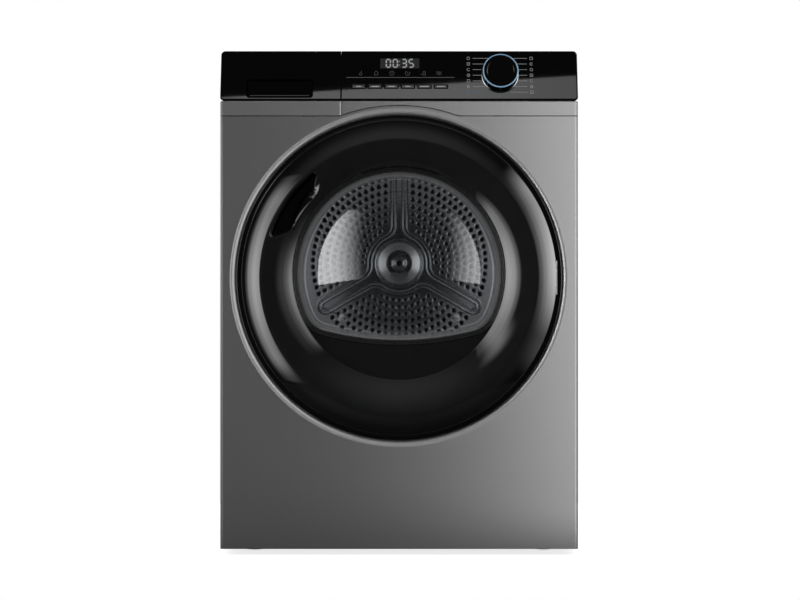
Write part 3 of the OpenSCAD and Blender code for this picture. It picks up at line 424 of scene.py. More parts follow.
def paint_rim_shade(material, start, end, value):
    """Paints shade into a door finish: fades its colour to a darker one between two distances from the door's
    centre, so that the door's outer flank looks unlit.
    """
    tree = material.node_tree
    main = tree.nodes["Principled BSDF"]
    where = add(tree, "TexCoord").outputs["Object"]
    flat = add(tree, "VectorMath", {0: where, 1: (1, 0, 1)}, operation="MULTIPLY").outputs["Vector"]
    far = add(tree, "VectorMath", {0: flat, 1: (DOOR.x, 0, DOOR.z)}, operation="DISTANCE").outputs["Value"]
    fade = add(tree, "MapRange", {"From Min": start, "From Max": end, "Value": far}).outputs["Result"]
    base = main.inputs["Base Color"].links[0].from_socket
    mix = add(tree, "Mix", {"Factor": fade, 6: base, 7: (value, value, value, 1)}, data_type="RGBA")
    fill(tree, main, {"Base Color": mix.outputs[2]})


# Painted shade: the door's outer flank is darkened in its colour, not by the light
paint_rim_shade(DOOR_BLACK, DOOR_R - 32 * MM, DOOR_R - 20 * MM, 0.002)

for cad_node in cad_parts.values():
    cad_node.data.materials[0] = FINISHES[cad_node.data.materials[0].name.split(".")[0]]


# ---- door ----

DOME_R = DOOR_R - 10.5 * MM
DOME_ARC_R = 116.6 * MM
DOME_SLOPES = (45, 27)
CREST_ARC_R = 8 * MM
FUNNEL_SLOPES = (20, 41)
FUNNEL_FOLLOWS = 0.35
SHELL_T = 2.5 * MM
HOLE_R = WINDOW_R + 1 * MM
HOLE_LAP = 0.5 * MM
RIM_H = 3 * MM
DOOR_STEPS = 480


def door_profile():
    """Outer surface of the door shell from its rim to the foot of the funnel: (radius, height)."""
    steep, gentle = DOME_SLOPES
    start, end = FUNNEL_SLOPES
    crest_r = DOME_R - DOME_ARC_R * (sind(steep) - sind(gentle)) - CREST_ARC_R * sind(gentle)
    crest = (crest_r, DOOR_BULGE - CREST_ARC_R)
    dome_top = DOOR_BULGE - CREST_ARC_R * (1 - cosd(gentle))
    dome = (DOME_R - DOME_ARC_R * sind(steep), dome_top - DOME_ARC_R * cosd(gentle))
    funnel_r = crest_r - CREST_ARC_R * sind(start)
    funnel_arc = (funnel_r - HOLE_R + WINDOW_RISE + HOLE_LAP) / (sind(end) - sind(start))
    funnel_top = DOOR_BULGE - CREST_ARC_R * (1 - cosd(start))
    funnel = (funnel_r + funnel_arc * sind(start), funnel_top - funnel_arc * cosd(start))
    dome_arc = arc(dome, DOME_ARC_R, 90 - steep, 90 - gentle, 26)
    foot_r, foot_h = dome_arc[0]
    step_r = foot_r + 1.3 * MM
    rim = [(DOOR_R - inward * MM, RIM_H - down * MM)
           for inward, down in ((0, 1.5), (0, 1.4), (0.2, 0.6), (0.8, 0.1), (1.6, 0))]
    rim += [(step_r + 0.1 * MM, RIM_H), (step_r, RIM_H + 0.1 * MM)]
    rim += [(step_r - inward * MM, foot_h - down * MM)
            for inward, down in ((0, 1.9), (0.2, 1.2), (0.7, 0.6))]
    return np.concatenate([rim, dome_arc, arc(crest, CREST_ARC_R, 90 - gentle, 90 + start, 12)[1:],
                           arc(funnel, funnel_arc, 90 + start, 90 + end, 30)[1:]])


PROFILE = door_profile()


def hole_radius(angle):
    """Distance from the door's centre to the window's round hole, along an angle in degrees."""
    a = np.radians(angle)
    return WINDOW_RISE * np.sin(a) + np.sqrt(HOLE_R ** 2 - (WINDOW_RISE * np.cos(a)) ** 2)


def door_height(radius, angle):
    """Height of the door's outer surface inside the crest, partly drawn after the window's hole."""
    inner = PROFILE[np.argmax(PROFILE[:, 1]):]
    top, foot = inner[0, 0], inner[-1, 0]
    spread = FUNNEL_FOLLOWS * (hole_radius(angle) - HOLE_LAP - foot)
    share = (top - radius) / (top - foot - spread)
    return np.interp(top - share * (top - foot), inner[::-1, 0], inner[::-1, 1])


def polar(radius, angle, height):
    """Places on the door by their radius, their angle in degrees and their height."""
    a = np.radians(angle)
    return on_door(radius * np.cos(a), height, radius * np.sin(a))


# The finger cup is a trapezium on the funnel, in degrees round the door's centre and radii
CUP_MIDDLE = 145.0
CUP_OUTER_R = 225.5 * MM
CUP_INNER_R = 189.5 * MM
CUP_SPAN = CUP_OUTER_R - CUP_INNER_R
CUP_MIDDLE_R = (CUP_INNER_R + CUP_OUTER_R) / 2
CUP_OUTER_SWEEP = 19.0
CUP_OUTER_HALF = math.radians(CUP_OUTER_SWEEP) * CUP_OUTER_R
CUP_INNER_HALF = math.radians(13.5) * CUP_INNER_R
CUP_SIDE_LEAN = math.atan2(CUP_OUTER_HALF - CUP_INNER_HALF, CUP_SPAN)
CUP_CORNER = 11 * MM
CUP_WIDE_CORNER = 7 * MM
CUP_WINDOW_SWEEP = 24
CUP_WINDOW_R = (183.5 * MM, 227.6 * MM)
CUP_FLOOR = -2 * MM
CUP_FILLET = 7 * MM
CUP_TAPER = 0.8 * MM

# Roll of its edge: tight under the crest, wider on the inner side and widest at that side's ends.
# The inner side has a sloping facet too, which is broad round one corner
CUP_WALL_LEAN = math.radians(-84)
CUP_ROLL, CUP_ROLL_INNER, CUP_ROLL_ENDS = 1.2, 2.6, 1.7
CUP_LIP_LEAN = -26
CUP_LIP_WIDTH = 4.6
CUP_LIP_END, CUP_LIP_FADE = 162, 14
CUP_BROAD_LEAN = -36
CUP_BROAD_WIDTH = 8.5
CUP_BROAD_ANGLE, CUP_BROAD_SWEEP = 132, 7
CUP_BROAD_R, CUP_BROAD_SPAN = 201 * MM, 15 * MM
CUP_EASE = 0.14


def cup_distance(angle, radius):
    """Signed distance from the finger cup's outline: a trapezium with rounded corners."""
    rise = (radius - CUP_INNER_R) / CUP_SPAN
    half = CUP_INNER_HALF * (1 - rise) + CUP_OUTER_HALF * rise
    side = (np.abs(np.radians(angle - CUP_MIDDLE) * radius) - half) * math.cos(CUP_SIDE_LEAN)
    radial = np.abs(radius - CUP_MIDDLE_R) - CUP_SPAN / 2
    low_end = np.clip((CUP_MIDDLE - angle) / CUP_OUTER_SWEEP, 0, 1)
    corner = CUP_CORNER + CUP_WIDE_CORNER * np.sin(low_end * math.pi / 2) * np.clip(1 - rise, 0, 1)
    a, b = side + corner, radial + corner
    return np.hypot(np.maximum(a, 0), np.maximum(b, 0)) + np.minimum(np.maximum(a, b), 0) - corner


def cup_outline(frame_angles, frame_radii, inset):
    """Where lines from the cup's middle to the points of a frame round it cross the outline."""
    mid_r = CUP_MIDDLE_R + 2 * MM
    low, high = np.zeros(len(frame_angles)), np.ones(len(frame_angles))
    for _ in range(40):
        t = (low + high) / 2
        angle, radius = CUP_MIDDLE + (frame_angles - CUP_MIDDLE) * t, mid_r + (frame_radii - mid_r) * t
        outside = cup_distance(angle, radius) + inset > 0
        high = np.where(outside, t, high)
        low = np.where(outside, low, t)
    t = (low + high) / 2
    return CUP_MIDDLE + (frame_angles - CUP_MIDDLE) * t, mid_r + (frame_radii - mid_r) * t


def cup_edge(frame_angles, frame_radii):
    """The rolled edge as (angles, radii, heights), and the inset that it ends at."""
    angles, radii = cup_outline(frame_angles, frame_radii, 0)
    toward_end = np.clip((CUP_MIDDLE - angles) / CUP_OUTER_SWEEP, -1, 1)
    inner_side = np.clip((CUP_OUTER_R - radii) / CUP_SPAN, 0, 1)
    roll = (CUP_ROLL + inner_side * (CUP_ROLL_INNER + CUP_ROLL_ENDS * np.abs(toward_end) ** 2)) * MM
    broad = np.exp(-((angles - CUP_BROAD_ANGLE) / CUP_BROAD_SWEEP) ** 2
                   - ((radii - CUP_BROAD_R) / CUP_BROAD_SPAN) ** 2)
    lip = inner_side * np.clip((CUP_LIP_END - angles) / CUP_LIP_FADE, 0, 1)
    facet = (CUP_LIP_WIDTH * lip + CUP_BROAD_WIDTH * broad) * MM
    facet_lean = np.radians(CUP_LIP_LEAN + (CUP_BROAD_LEAN - CUP_LIP_LEAN) * (1 - (1 - broad) ** 3))
    base = door_height(radii, angles)
    nudge = 0.5 * MM
    a, r = cup_outline(frame_angles, frame_radii, nudge)
    start = np.arctan2(door_height(r, a) - base, nudge)
    rolled = []
    for t in np.linspace(0.06, 1, 18):
        lean = start + (CUP_WALL_LEAN - start) * t
        ease = facet * np.clip((facet_lean + CUP_EASE - lean) / (2 * CUP_EASE), 0, 1)
        inset = roll * (np.sin(start) - np.sin(lean)) + ease * np.cos(facet_lean)
        drop = roll * (np.cos(lean) - np.cos(start)) + ease * np.sin(facet_lean)
        a, r = cup_outline(frame_angles, frame_radii, inset)
        rolled.append((a, r, base + drop))
    return rolled, inset


def make_finger_cup(frame_angles, frame_radii, seam, inset):
    """The cup itself, from the end of the rolled edge down to a rounded floor."""
    seam_a, seam_r, seam_h = seam
    walls = [polar(seam_r, seam_a, seam_h)]
    for t in (0.35, 0.7, 1.0):
        a, r = cup_outline(frame_angles, frame_radii, inset + CUP_TAPER * t)
        walls.append(polar(r, a, seam_h - (seam_h - CUP_FLOOR - CUP_FILLET) * t))
    for turn in (25, 50, 75, 90):
        bend = CUP_FILLET * (1 - cosd(turn)) * 0.6
        a, r = cup_outline(frame_angles, frame_radii, inset + CUP_TAPER + bend)
        walls.append(polar(r, a, CUP_FLOOR + CUP_FILLET * (1 - sind(turn))))
    for t in (0.3, 0.6, 0.9):
        walls.append(polar(r * (1 - t) + CUP_MIDDLE_R * t, a * (1 - t) + CUP_MIDDLE * t,
                           CUP_FLOOR - 0.3 * MM * t))
    return piece("finger_cup", loft(walls, cap_last=True), "door", "gloss_black",
                 ["door_handle_cup"], sharp=60, solidify=1.5 * MM, flat_first=False)


def door_cover_and_cup():
    """The door's glossy shell, with a hole for the window and a rolled opening for the finger cup."""
    angles = np.arange(DOOR_STEPS) * 360 / DOOR_STEPS
    fixed = PROFILE[PROFILE[:, 0] > CUP_WINDOW_R[1] - 1e-9]
    radii = [np.full(DOOR_STEPS, r) for r in fixed[:, 0]]
    heights = [np.full(DOOR_STEPS, h) for h in fixed[:, 1]]
    hole = hole_radius(angles)
    rows_in_cup = [np.full(DOOR_STEPS, r) for r in np.linspace(CUP_WINDOW_R[1], CUP_WINDOW_R[0], 34)]
    for r in rows_in_cup + [CUP_WINDOW_R[0] * (1 - t) + hole * t for t in np.linspace(0, 1, 9)[1:]]:
        radii.append(r)
        heights.append(door_height(r, angles))
    first_row, last_row = len(fixed), len(fixed) + len(rows_in_cup) - 1
    lip_h = heights[-1]
    for inward, down in ((0.35, 0.15), (0.6, 0.6), (0.7, 1.6), (0.7, 5.0)):
        radii.append(hole - inward * MM)
        heights.append(lip_h - down * MM)
    verts, faces = loft([polar(r, angles, h) for r, h in zip(radii, heights)])
    first_col, last_col = [int(round(CUP_MIDDLE + turn)) * DOOR_STEPS // 360
                           for turn in (-CUP_WINDOW_SWEEP, CUP_WINDOW_SWEEP)]
    faces = [face for i, face in enumerate(faces)
             if not (first_row <= i // DOOR_STEPS < last_row and first_col <= i % DOOR_STEPS < last_col)]

    # The frame of grid points round the cup's window, and a collar from it down the rolled edge
    cols = np.arange(first_col, last_col + 1)
    rows = np.arange(first_row, last_row + 1)
    loop = ([(rows[0], c) for c in cols] + [(r, cols[-1]) for r in rows[1:]]
            + [(rows[-1], c) for c in cols[::-1][1:]] + [(r, cols[0]) for r in rows[::-1][1:-1]])
    frame_angles = np.array([c * 360 / DOOR_STEPS for _, c in loop])
    frame_radii = np.array([radii[r][c] for r, c in loop])
    edge_angles, edge_radii = cup_outline(frame_angles, frame_radii, 0)
    collar = []
    for t in np.linspace(0, 1, 9):
        a = frame_angles * (1 - t) + edge_angles * t
        r = frame_radii * (1 - t) + edge_radii * t
        collar.append(polar(r, a, door_height(r, a)))
    rolled, inset = cup_edge(frame_angles, frame_radii)
    collar += [polar(r, a, h) for a, r, h in rolled]
    cover = piece("door_shell", merged((verts, faces), loft(collar)), "door", "gloss_black",
                  ["door_cover"], DOOR_BLACK, sharp=50, solidify=SHELL_T, flat_first=False)
    return cover, make_finger_cup(frame_angles, frame_radii, rolled[-1], inset)


# ---- door window ----

CORNER_R = 50 * MM
SOLE_R = 504 * MM
WINDOW_DROP = 118.4 * MM


def window_outline(d, fine=1):
    """Outline of the window, moved outwards by d: three tangent arcs that make a rounded D."""
    sole_z = SOLE_R - WINDOW_DROP
    corner_d = WINDOW_R - CORNER_R
    reach = SOLE_R - CORNER_R
    dip = math.degrees(math.asin((reach ** 2 - corner_d ** 2 - sole_z ** 2) / (2 * corner_d * sole_z)))
    x, z = corner_d * cosd(dip), -corner_d * sind(dip)
    sole = math.degrees(math.atan2(z - sole_z, x))
    return np.concatenate([
        arc((0, 0), WINDOW_R + d, -dip, 180 + dip, 120 * fine)[:-1],
        arc((-x, z), CORNER_R + d, 180 + dip, 180 - sole, 24 * fine)[:-1],
        arc((0, sole_z), SOLE_R + d, 180 - sole, 360 + sole, 40 * fine)[:-1],
        arc((x, z), CORNER_R + d, 360 + sole, 360 - dip, 24 * fine)[:-1]])


def on_window(outline, height):
    """A window outline at a height above the front panel."""
    return on_door(outline[:, 0], height, outline[:, 1] + WINDOW_RISE)


def window_rings(section, fine=1):
    """Rings round the window from a section: (how far out, how high)."""
    return [on_window(window_outline(d * MM, fine), h * MM) for d, h in section]


GASKET_BACK = -27
GASKET_SECTION = [
    (0, GASKET_BACK), (0, 3.4), (-0.4, 4.5), (-1.2, 5.0), (-2.0, 4.6), (-2.4, 3.9), (-2.9, 3.4), (-3.4, 3.9),
    (-4.0, 4.5), (-4.7, 4.2), (-5.1, 3.4), (-5.5, 3.0), (-6.0, 3.3), (-6.7, 3.6), (-7.5, 3.2), (-8.0, 2.2),
    (-8.0, -1.0), (-5.0, -2.0), (-4.5, GASKET_BACK)]


def make_gasket():
    """Rubber seal round the glass, with two ribs on its face."""
    return piece("ribbed_gasket", loft(window_rings(GASKET_SECTION, 2), tube_closed=True), "door",
                 "black_rubber", ["window_gasket"], sharp=70)


BOWL_R = 330 * MM
BOWL_BACK = -44 * MM
BOWL_EDGE = -40 * MM
GLASS_T = 3.5 * MM


def on_bowl(outline):
    """An outline on the glass bowl's domed floor."""
    r = np.hypot(outline[:, 0], outline[:, 1])
    return on_window(outline, BOWL_BACK + BOWL_R - np.sqrt(BOWL_R ** 2 - r ** 2))


def make_glass():
    """The glass bowl: a frosted rim in the gasket, a clear band and a domed floor with a soft edge."""
    frosted = [(-5.2, 0.6), (-8.4, 0.5), (-9.0, -0.5), (-10.2, -0.7), (-10.8, -2.2), (-12.0, -2.4),
               (-12.6, -4.4), (-13.8, -4.6), (-14.4, -6.4), (-15.4, -6.6), (-16.2, -8.6), (-18, -10)]
    clear = [(-18, -10), (-20, -11.8), (-23, -12.6), (-28, -13)]
    floor_edge = window_outline(BOWL_EDGE)
    floor = [on_bowl(floor_edge * (1 - t)) for t in np.linspace(0, 0.985, 40)]
    looks = {"solidify": GLASS_T, "flat_first": False}
    rim = piece("glass_rim", loft(window_rings(frosted)), "door", "window_glass", ["window_glass"],
                GLASS_RIM, sharp=60, **looks)
    band = piece("glass_band", loft(window_rings(clear) + [on_bowl(floor_edge)]), "door", "window_glass",
                 sharp=25, **looks)
    bowl = piece("glass_bowl", loft(floor, cap_last=True), "door", "window_glass", sharp=25, **looks)
    for part in (rim, band, bowl):
        part.modifiers["thickness"].use_rim = False
    return bowl, rim


def make_surround():
    """Apron below the window: a plate that fills the round hole under the flat side of the D."""
    top = float(PROFILE[-1, 1])
    outer = arc((0, 0), HOLE_R - 0.4 * MM, 205, 335, 120)
    drop = window_outline(0.3 * MM, 2)
    lower = drop[(drop[:, 1] < outer[0, 1]) & (drop[:, 0] > outer[0, 0]) & (drop[:, 0] < outer[-1, 0])]
    outline = np.concatenate([outer, lower[np.argsort(lower[:, 0])[::-1]]])
    face = filled(outline, lambda p: (p[0], FRONT - top, p[1] + WINDOW_RISE + DOOR.z))
    side = loft([on_window(outline, top), on_window(outline, top - 3 * MM)])
    return piece("window_apron", merged(face, side), "door", "gloss_black", ["window_surround"],
                 DOOR_BLACK, sharp=30)


# ---- rear wall of the drum ----

ARM_HALF = 11 * MM
HUB_BEAD_R = 57.5 * MM
HUB_RIM_R = 49.8 * MM
ARM_FILLET = 26 * MM
ARM_END = 169 * MM
BEAD_HALF = 6.5
BEAD_STEP = 2 * MM
BEAD = [(-BEAD_HALF, 0, 0), (-6.0, 1.4, 0), (-5.5, 3.2, 0), (-4.9, 4.2, 0), (-4.2, 4.5, 0), (-3.4, 4.2, 0),
        (-2.9, 3.7, 0), (-1.3, 3.6, 0), (-1.0, 3.6, 3.2)]
SLOT_PITCH = 14 * MM
SLOT_LENGTH = 8 * MM
HOLE_ROWS = 8
FIRST_ROW_R = 73 * MM
ROW_PITCH = 13.9 * MM
HOLE_FROM_ARM = 27 * MM
DIMPLE = [(5.9, 0), (5.4, -0.12), (4.9, -0.3), (4.4, -0.6), (3.9, -1.1), (3.5, -1.9), (3.3, -3.2)]
DIMPLE_STEPS = 18


def turned(points, angle):
    """Points of a plane turned about its origin, by degrees."""
    return points @ np.array([(cosd(angle), sind(angle)), (-sind(angle), cosd(angle))])


def star_outline(d):
    """Outline round the hub and the three arms, at a distance d outside the bead's centre line."""
    w, hub, fillet = ARM_HALF, HUB_BEAD_R, ARM_FILLET
    foot = math.sqrt((hub + fillet) ** 2 - (w + fillet) ** 2)
    turn = math.degrees(math.atan2(w + fillet, foot))
    count = lambda length: max(4, int(round(length / BEAD_STEP)))
    side = count(ARM_END - foot)
    bend = count(math.radians(90 - turn) * fillet)
    along = np.linspace(ARM_END, foot, side + 1)
    out = np.concatenate([
        arc((ARM_END, 0), w + d, -90, 90, count(math.pi * w))[:-1],
        np.stack([along, np.full(side + 1, w + d)], 1)[:-1],
        arc((foot, w + fillet), fillet - d, -90, turn - 180, bend)[:-1],
        arc((0, 0), hub + d, turn, 120 - turn, count(math.radians(120 - 2 * turn) * hub))[:-1]])
    back = np.concatenate([
        arc((foot, -w - fillet), fillet - d, 180 - turn, 90, bend)[:-1],
        np.stack([along[::-1], np.full(side + 1, -w - d)], 1)[:-1]])
    return np.concatenate([turned(part, arm + turn_on) for arm in (90, 210, 330)
                           for part, turn_on in ((out, 0), (back, 120))])


def on_wall(points, height):
    """Places on the drum's rear wall, a height in front of it."""
    return np.stack([points[:, 0], WALL_Y - height + 0 * points[:, 0], points[:, 1] + DRUM.z], 1)


def wall_place(height=0.0):
    """Puts points of a plane on the drum's rear wall, a height in front of it."""
    return lambda p: (p[0], WALL_Y - height, p[1] + DRUM.z)


def spun(profile, steps=96, centre=(0, 0)):
    """A turned shape on the rear wall: (radius, height) in millimetres about a centre."""
    return loft([on_wall(circle(r * MM, steps, centre), h * MM) for r, h in profile])


def vent_places():
    """Centres of the holes, in arcs about the hub that keep clear of the arms and the hub's bead."""
    places = []
    for row in range(HOLE_ROWS):
        r = FIRST_ROW_R + row * ROW_PITCH
        half = 60 - math.degrees(math.asin(HOLE_FROM_ARM / r))
        spaces = 8 + 2 * row
        for sector in range(3):
            for i in range(spaces + 1):
                if row == 0 and i in (0, spaces):
                    continue
                a = 30 + 120 * sector - half + 2 * half * i / spaces
                places.append((r * cosd(a), r * sind(a)))
    return places


def make_rear_wall():
    """Perforated wall with dimples round its holes and a beaded star, slotted along its flat top."""
    vents = vent_places()
    dimples = [circle(DIMPLE[0][0] * MM, DIMPLE_STEPS, place) for place in vents]
    parts = [filled(circle(DRUM_R - 1.3 * MM, 200), wall_place(), [star_outline(BEAD_HALF * MM)] + dimples)]
    parts += [spun(DIMPLE, DIMPLE_STEPS, place) for place in vents]
    line = star_outline(0)
    along = np.cumsum(np.hypot(*(line - np.roll(line, 1, axis=0)).T))
    slotted = np.where(along % SLOT_PITCH < SLOT_LENGTH, 1.0, 0.0)
    section = BEAD + [(-d, h, drop) for d, h, drop in BEAD[::-1]]
    parts.append(loft([on_wall(star_outline(d * MM), (h - drop * slotted) * MM) for d, h, drop in section]))
    parts.append(filled(star_outline(-BEAD_HALF * MM), wall_place(), [circle(HUB_RIM_R)]))
    return piece("perforated_wall", merged(*parts), "drum", "drum_steel", ["drum_rear_wall"], sharp=50)


HUB_CONE_R = 41.0
HUB_RIM = [(HUB_RIM_R / MM, 0), (49.6, 3.6), (49.0, 5.2), (47.8, 6.0), (46.4, 5.6), (45.4, 4.4), (44.6, 3.6),
           (43.8, 4.0), (43.0, 4.6), (42.2, 4.4), (41.6, 3.6), (HUB_CONE_R, 3.2)]
RECESS_R, RECESS_CHORD, RECESS_CORNER = 26, 19, 4
RECESS_WALL = ((0, 0), (0.5, 0.4), (0.9, 1.4), (1.2, 8), (2.2, 9.5))
BOSS_R = 16.2


def hub_cone(r):
    """Height of the hub's shallow cone at a radius, in millimetres."""
    return HUB_RIM[-1][1] + (HUB_CONE_R - r) * 0.22


def hub_recess(inset):
    """Outline of the hub's recess: a circle with a flat side below."""
    r, chord, soft = [value * MM for value in (RECESS_R - inset, RECESS_CHORD - inset, RECESS_CORNER)]
    corner = math.sqrt((r - soft) ** 2 - (chord - soft) ** 2)
    tilt = math.degrees(math.atan2(soft - chord, corner))
    return np.concatenate([
        arc((0, 0), r, tilt, 180 - tilt, 60)[:-1],
        arc((-corner, soft - chord), soft, 180 - tilt, 270, 8)[:-1],
        arc((corner, soft - chord), soft, 270, 360 + tilt, 8)[:-1]])


def make_hub():
    """Bearing hub: a beaded rim, a shallow cone with a recess, and the boss in its middle."""
    cone = lambda p: wall_place(hub_cone(math.hypot(*p) / MM) * MM)(p)
    dish = filled(circle(HUB_CONE_R * MM), cone, [hub_recess(0)])
    foot_inset, depth = RECESS_WALL[-1]
    top = hub_cone(RECESS_R)
    walls = loft([on_wall(hub_recess(inset), (top - down) * MM) for inset, down in RECESS_WALL])
    floor = filled(hub_recess(foot_inset), wall_place((top - depth) * MM), [circle(BOSS_R * MM, 64)])
    boss = [(BOSS_R, top - depth), (15.8, 4), (15.2, 5.4), (14.0, 6.0), (12.6, 5.4), (11.8, 4.2), (10.8, 4.4),
            (9.6, 5.6), (8.0, 6.2), (6.6, 5.8), (5.8, 4.8), (4.6, 3.6), (4.2, -4)]
    return piece("bearing_hub", merged(spun(HUB_RIM), dish, walls, floor, spun(boss, 64)),
                 "drum", "bare_steel", sharp=40)


# ---- front panel ----

PANEL_CORNER = 5 * MM
EDGE_STRIP = 1 * MM
FLAT_HALF = HALF_W - PANEL_CORNER - EDGE_STRIP
FOLD_D = 9 * MM
RETURN_D = 20 * MM
DISH_DEPTH = 12 * MM
DISH_CURL_R = 12.6 * MM
DISH_R = DOOR_R + 9.9 * MM
PORT_R = 222 * MM
FAR = 9.0


def panel_edge(angle):
    """Distance from the door's centre to the flat part's edge along a direction, in radians."""
    c, s = np.cos(angle), np.sin(angle)
    to_side = np.where(np.abs(c) > 1e-9, FLAT_HALF / np.maximum(np.abs(c), 1e-9), FAR)
    to_floor = np.where(s < 0, (DOOR.z - FOOT_H) / np.maximum(-s, 1e-9), FAR)
    to_seam = np.where(s > 0, np.maximum((SEAM_Z - DOOR.z) / np.maximum(s, 1e-9), WAVE_R), FAR)
    return np.minimum(np.minimum(to_side, to_floor), to_seam)


def make_front_panel():
    """Front sheet: dished ring round the door, arched top seam and rounded upright edges."""
    angles = np.linspace(0, 2 * math.pi, 720, endpoint=False)
    top_corner, foot_corner = [math.atan2(z - DOOR.z, FLAT_HALF) for z in (SEAM_Z, FOOT_H)]
    wave_end = math.asin((SEAM_Z - DOOR.z) / WAVE_R)
    for mark in (top_corner, math.pi - top_corner, math.pi - foot_corner, 2 * math.pi + foot_corner,
                 wave_end, math.pi - wave_end):
        angles[np.argmin(np.abs(angles - mark % (2 * math.pi)))] = mark % (2 * math.pi)

    def at(radius, height):
        """A ring round the door's centre."""
        return on_door(radius * np.cos(angles), height, radius * np.sin(angles))

    dish = [(PORT_R, -DISH_DEPTH - 5 * MM), (PORT_R, -DISH_DEPTH), (DOOR_R - 3 * MM, -DISH_DEPTH)]
    turn = math.degrees(math.asin((DISH_R - DOOR_R - 0.7 * MM) / DISH_CURL_R))
    dish += [tuple(point) for point in arc((DISH_R, -DISH_CURL_R), DISH_CURL_R, 90 + turn, 90, 14)]
    start = DISH_R + 1.5 * MM
    ring = piece("door_dish", loft([at(r, h) for r, h in dish + [(start, 0.0)]]), "cabinet",
                 "graphite_steel", sharp=60)
    edge = panel_edge(angles)
    rings = [at(start + (edge - start) * t, 0.0) for t in (0.0, 0.02, 0.1, 0.3, 0.6, 1.0)]
    parts = [loft(rings + [at(edge, -FOLD_D)])]
    for side in (-1, 1):
        bend = [(side * x, FRONT + y) for x, y in side_bend()]
        parts.append(loft([[(x, y, z) for x, y in bend] for z in np.linspace(FOOT_H, SEAM_Z, 12)],
                          ring_closed=False))
    skin = piece("front_skin", merged(*parts), "cabinet", "graphite_steel", ["front_panel"], sharp=60)
    return skin, ring


def side_bend():
    """The rounded upright edge from the flat front to the side: (x, depth behind the front)."""
    bend = [(FLAT_HALF, 0.0)]
    bend += [(FLAT_HALF + EDGE_STRIP + PANEL_CORNER * math.sin(turn), PANEL_CORNER * (1 - math.cos(turn)))
             for turn in quarter(8)]
    return bend + [(HALF_W, RETURN_D)]


# ---- hood ----

KNOB_Z = 797 * MM
KNOB_HOLE_UP = 44.5 * MM
KEY_Z = HOOD_Z + 26 * MM
DISPLAY_Z = HOOD_Z + 66 * MM
HOOD_SOFT = 2.5 * MM
HOOD_SUPPORT = 0.3 * MM
HOOD_LIFT = 2.2 * MM
SEAM_SOFT = 0.35
GRIP = (-254 * MM, -143 * MM, 759 * MM, 791.5 * MM)
GRIP_CUP = ((0, 0), (0.1, 0.3), (0.4, 0.6), (0.6, 1.2), (1.0, 9), (1.8, 12.5), (4, 14.6), (7, 15.2))
GRIP_STRAIGHT = 12.5
KEYS = [f"key_{i}" for i in range(1, 7)]


def rounded_box(x0, x1, z0, z1, corners, steps=8):
    """Anticlockwise outline of a rectangle, corners' radii from the lower left anticlockwise."""
    c0, c1, c2, c3 = corners
    return np.concatenate([
        arc((x0 + c0, z0 + c0), c0, 180, 270, steps), arc((x1 - c1, z0 + c1), c1, 270, 360, steps),
        arc((x1 - c2, z1 - c2), c2, 0, 90, steps), arc((x0 + c3, z1 - c3), c3, 90, 180, steps)])


def centred_box(x, z, half_w, half_h, corner, steps=3):
    """Outline of a rectangle about its centre, with equal corners."""
    return rounded_box(x - half_w, x + half_w, z - half_h, z + half_h, [corner] * 4, steps)


def hood_ring(outline, back=0.0):
    """An outline given along X and by height, as a ring behind the hood's face."""
    return np.stack([outline[:, 0], hood_y(outline[:, 1]) + back, outline[:, 1]], 1)


def hood_rings(x0, x1, corners, left, right):
    """Outlines from the hood's flat face round its soft edge and back to its rear.

    left and right are the share of the soft edge that each end has.
    """
    section = [(HOOD_SOFT + HOOD_SUPPORT, 0.0)]
    section += [(HOOD_SOFT * (1 - math.sin(turn)), HOOD_SOFT * (1 - math.cos(turn))) for turn in quarter(5)]
    rings = []
    for inset, back in section:
        ring = rounded_box(x0 + left * inset, x1 - right * inset, HOOD_Z + HOOD_LIFT + 1.25 * inset,
                           TOP - inset, [max(c - inset, 0.4 * MM) for c in corners])
        rings.append(hood_ring(ring, back))
    last = rings[-1]
    rings.append(np.stack([last[:, 0], np.maximum(last[:, 1] + 1 * MM, HOOD_BACK), last[:, 2]], 1))
    return rings


def hood_shell(name, ends, corners, shares, holes, body, replaces):
    """Half of the black hood: a flat leaning face with holes, soft edges and sides."""
    rings = hood_rings(*ends, [c * MM for c in corners], *shares)
    face = filled(rings[0][:, [0, 2]], lambda p: (p[0], hood_y(p[1]), p[1]), holes)
    walls = [loft([hood_ring(hole), hood_ring(hole, 3 * MM)]) for hole in holes]
    return piece(name, merged(face, loft(rings), *walls), body, "gloss_black", replaces, sharp=50)


def make_hood():
    """Fascia and drawer face side by side, and a dark strip behind the seam between them."""
    openings = [circle(6 * MM, 64, (KNOB.x, HOOD_Z + KNOB_HOLE_UP))]
    openings += [centred_box(middle(key).x, KEY_Z, 12.3 * MM, 3.95 * MM, 0.8 * MM) for key in KEYS]
    openings.append(centred_box(middle("display_window").x, DISPLAY_Z, 33 * MM, 8.7 * MM, 0.6 * MM))
    panel = hood_shell("fascia", (DRAWER_X + DRAWER_GAP, HALF_W), (1, 6, 7, 1), (SEAM_SOFT, 1), openings,
                       "cabinet", ["control_panel"])
    grip = rounded_box(*GRIP, [5 * MM, 5 * MM, 4 * MM, 4 * MM])
    drawer = hood_shell("drawer_face", (-HALF_W, DRAWER_X - DRAWER_GAP), (6, 1, 1, 7), (1, SEAM_SOFT), [grip],
                        "tank_drawer", ["tank_drawer_front"])
    x0, x1 = DRAWER_X - DRAWER_GAP + 0.2 * MM, DRAWER_X + 2 * MM
    corners = ((x0, 4), (x1, 4), (x1, 7), (x0, 7))
    rings = [[(x, hood_y(z) + back * MM, z) for x, back in corners]
             for z in (HOOD_Z + 6 * MM, TOP - 0.8 * MM)]
    piece("seam_backing", loft(rings, cap_first=True, cap_last=True), "cabinet", "dark_plastic", sharp=30)
    return panel, drawer


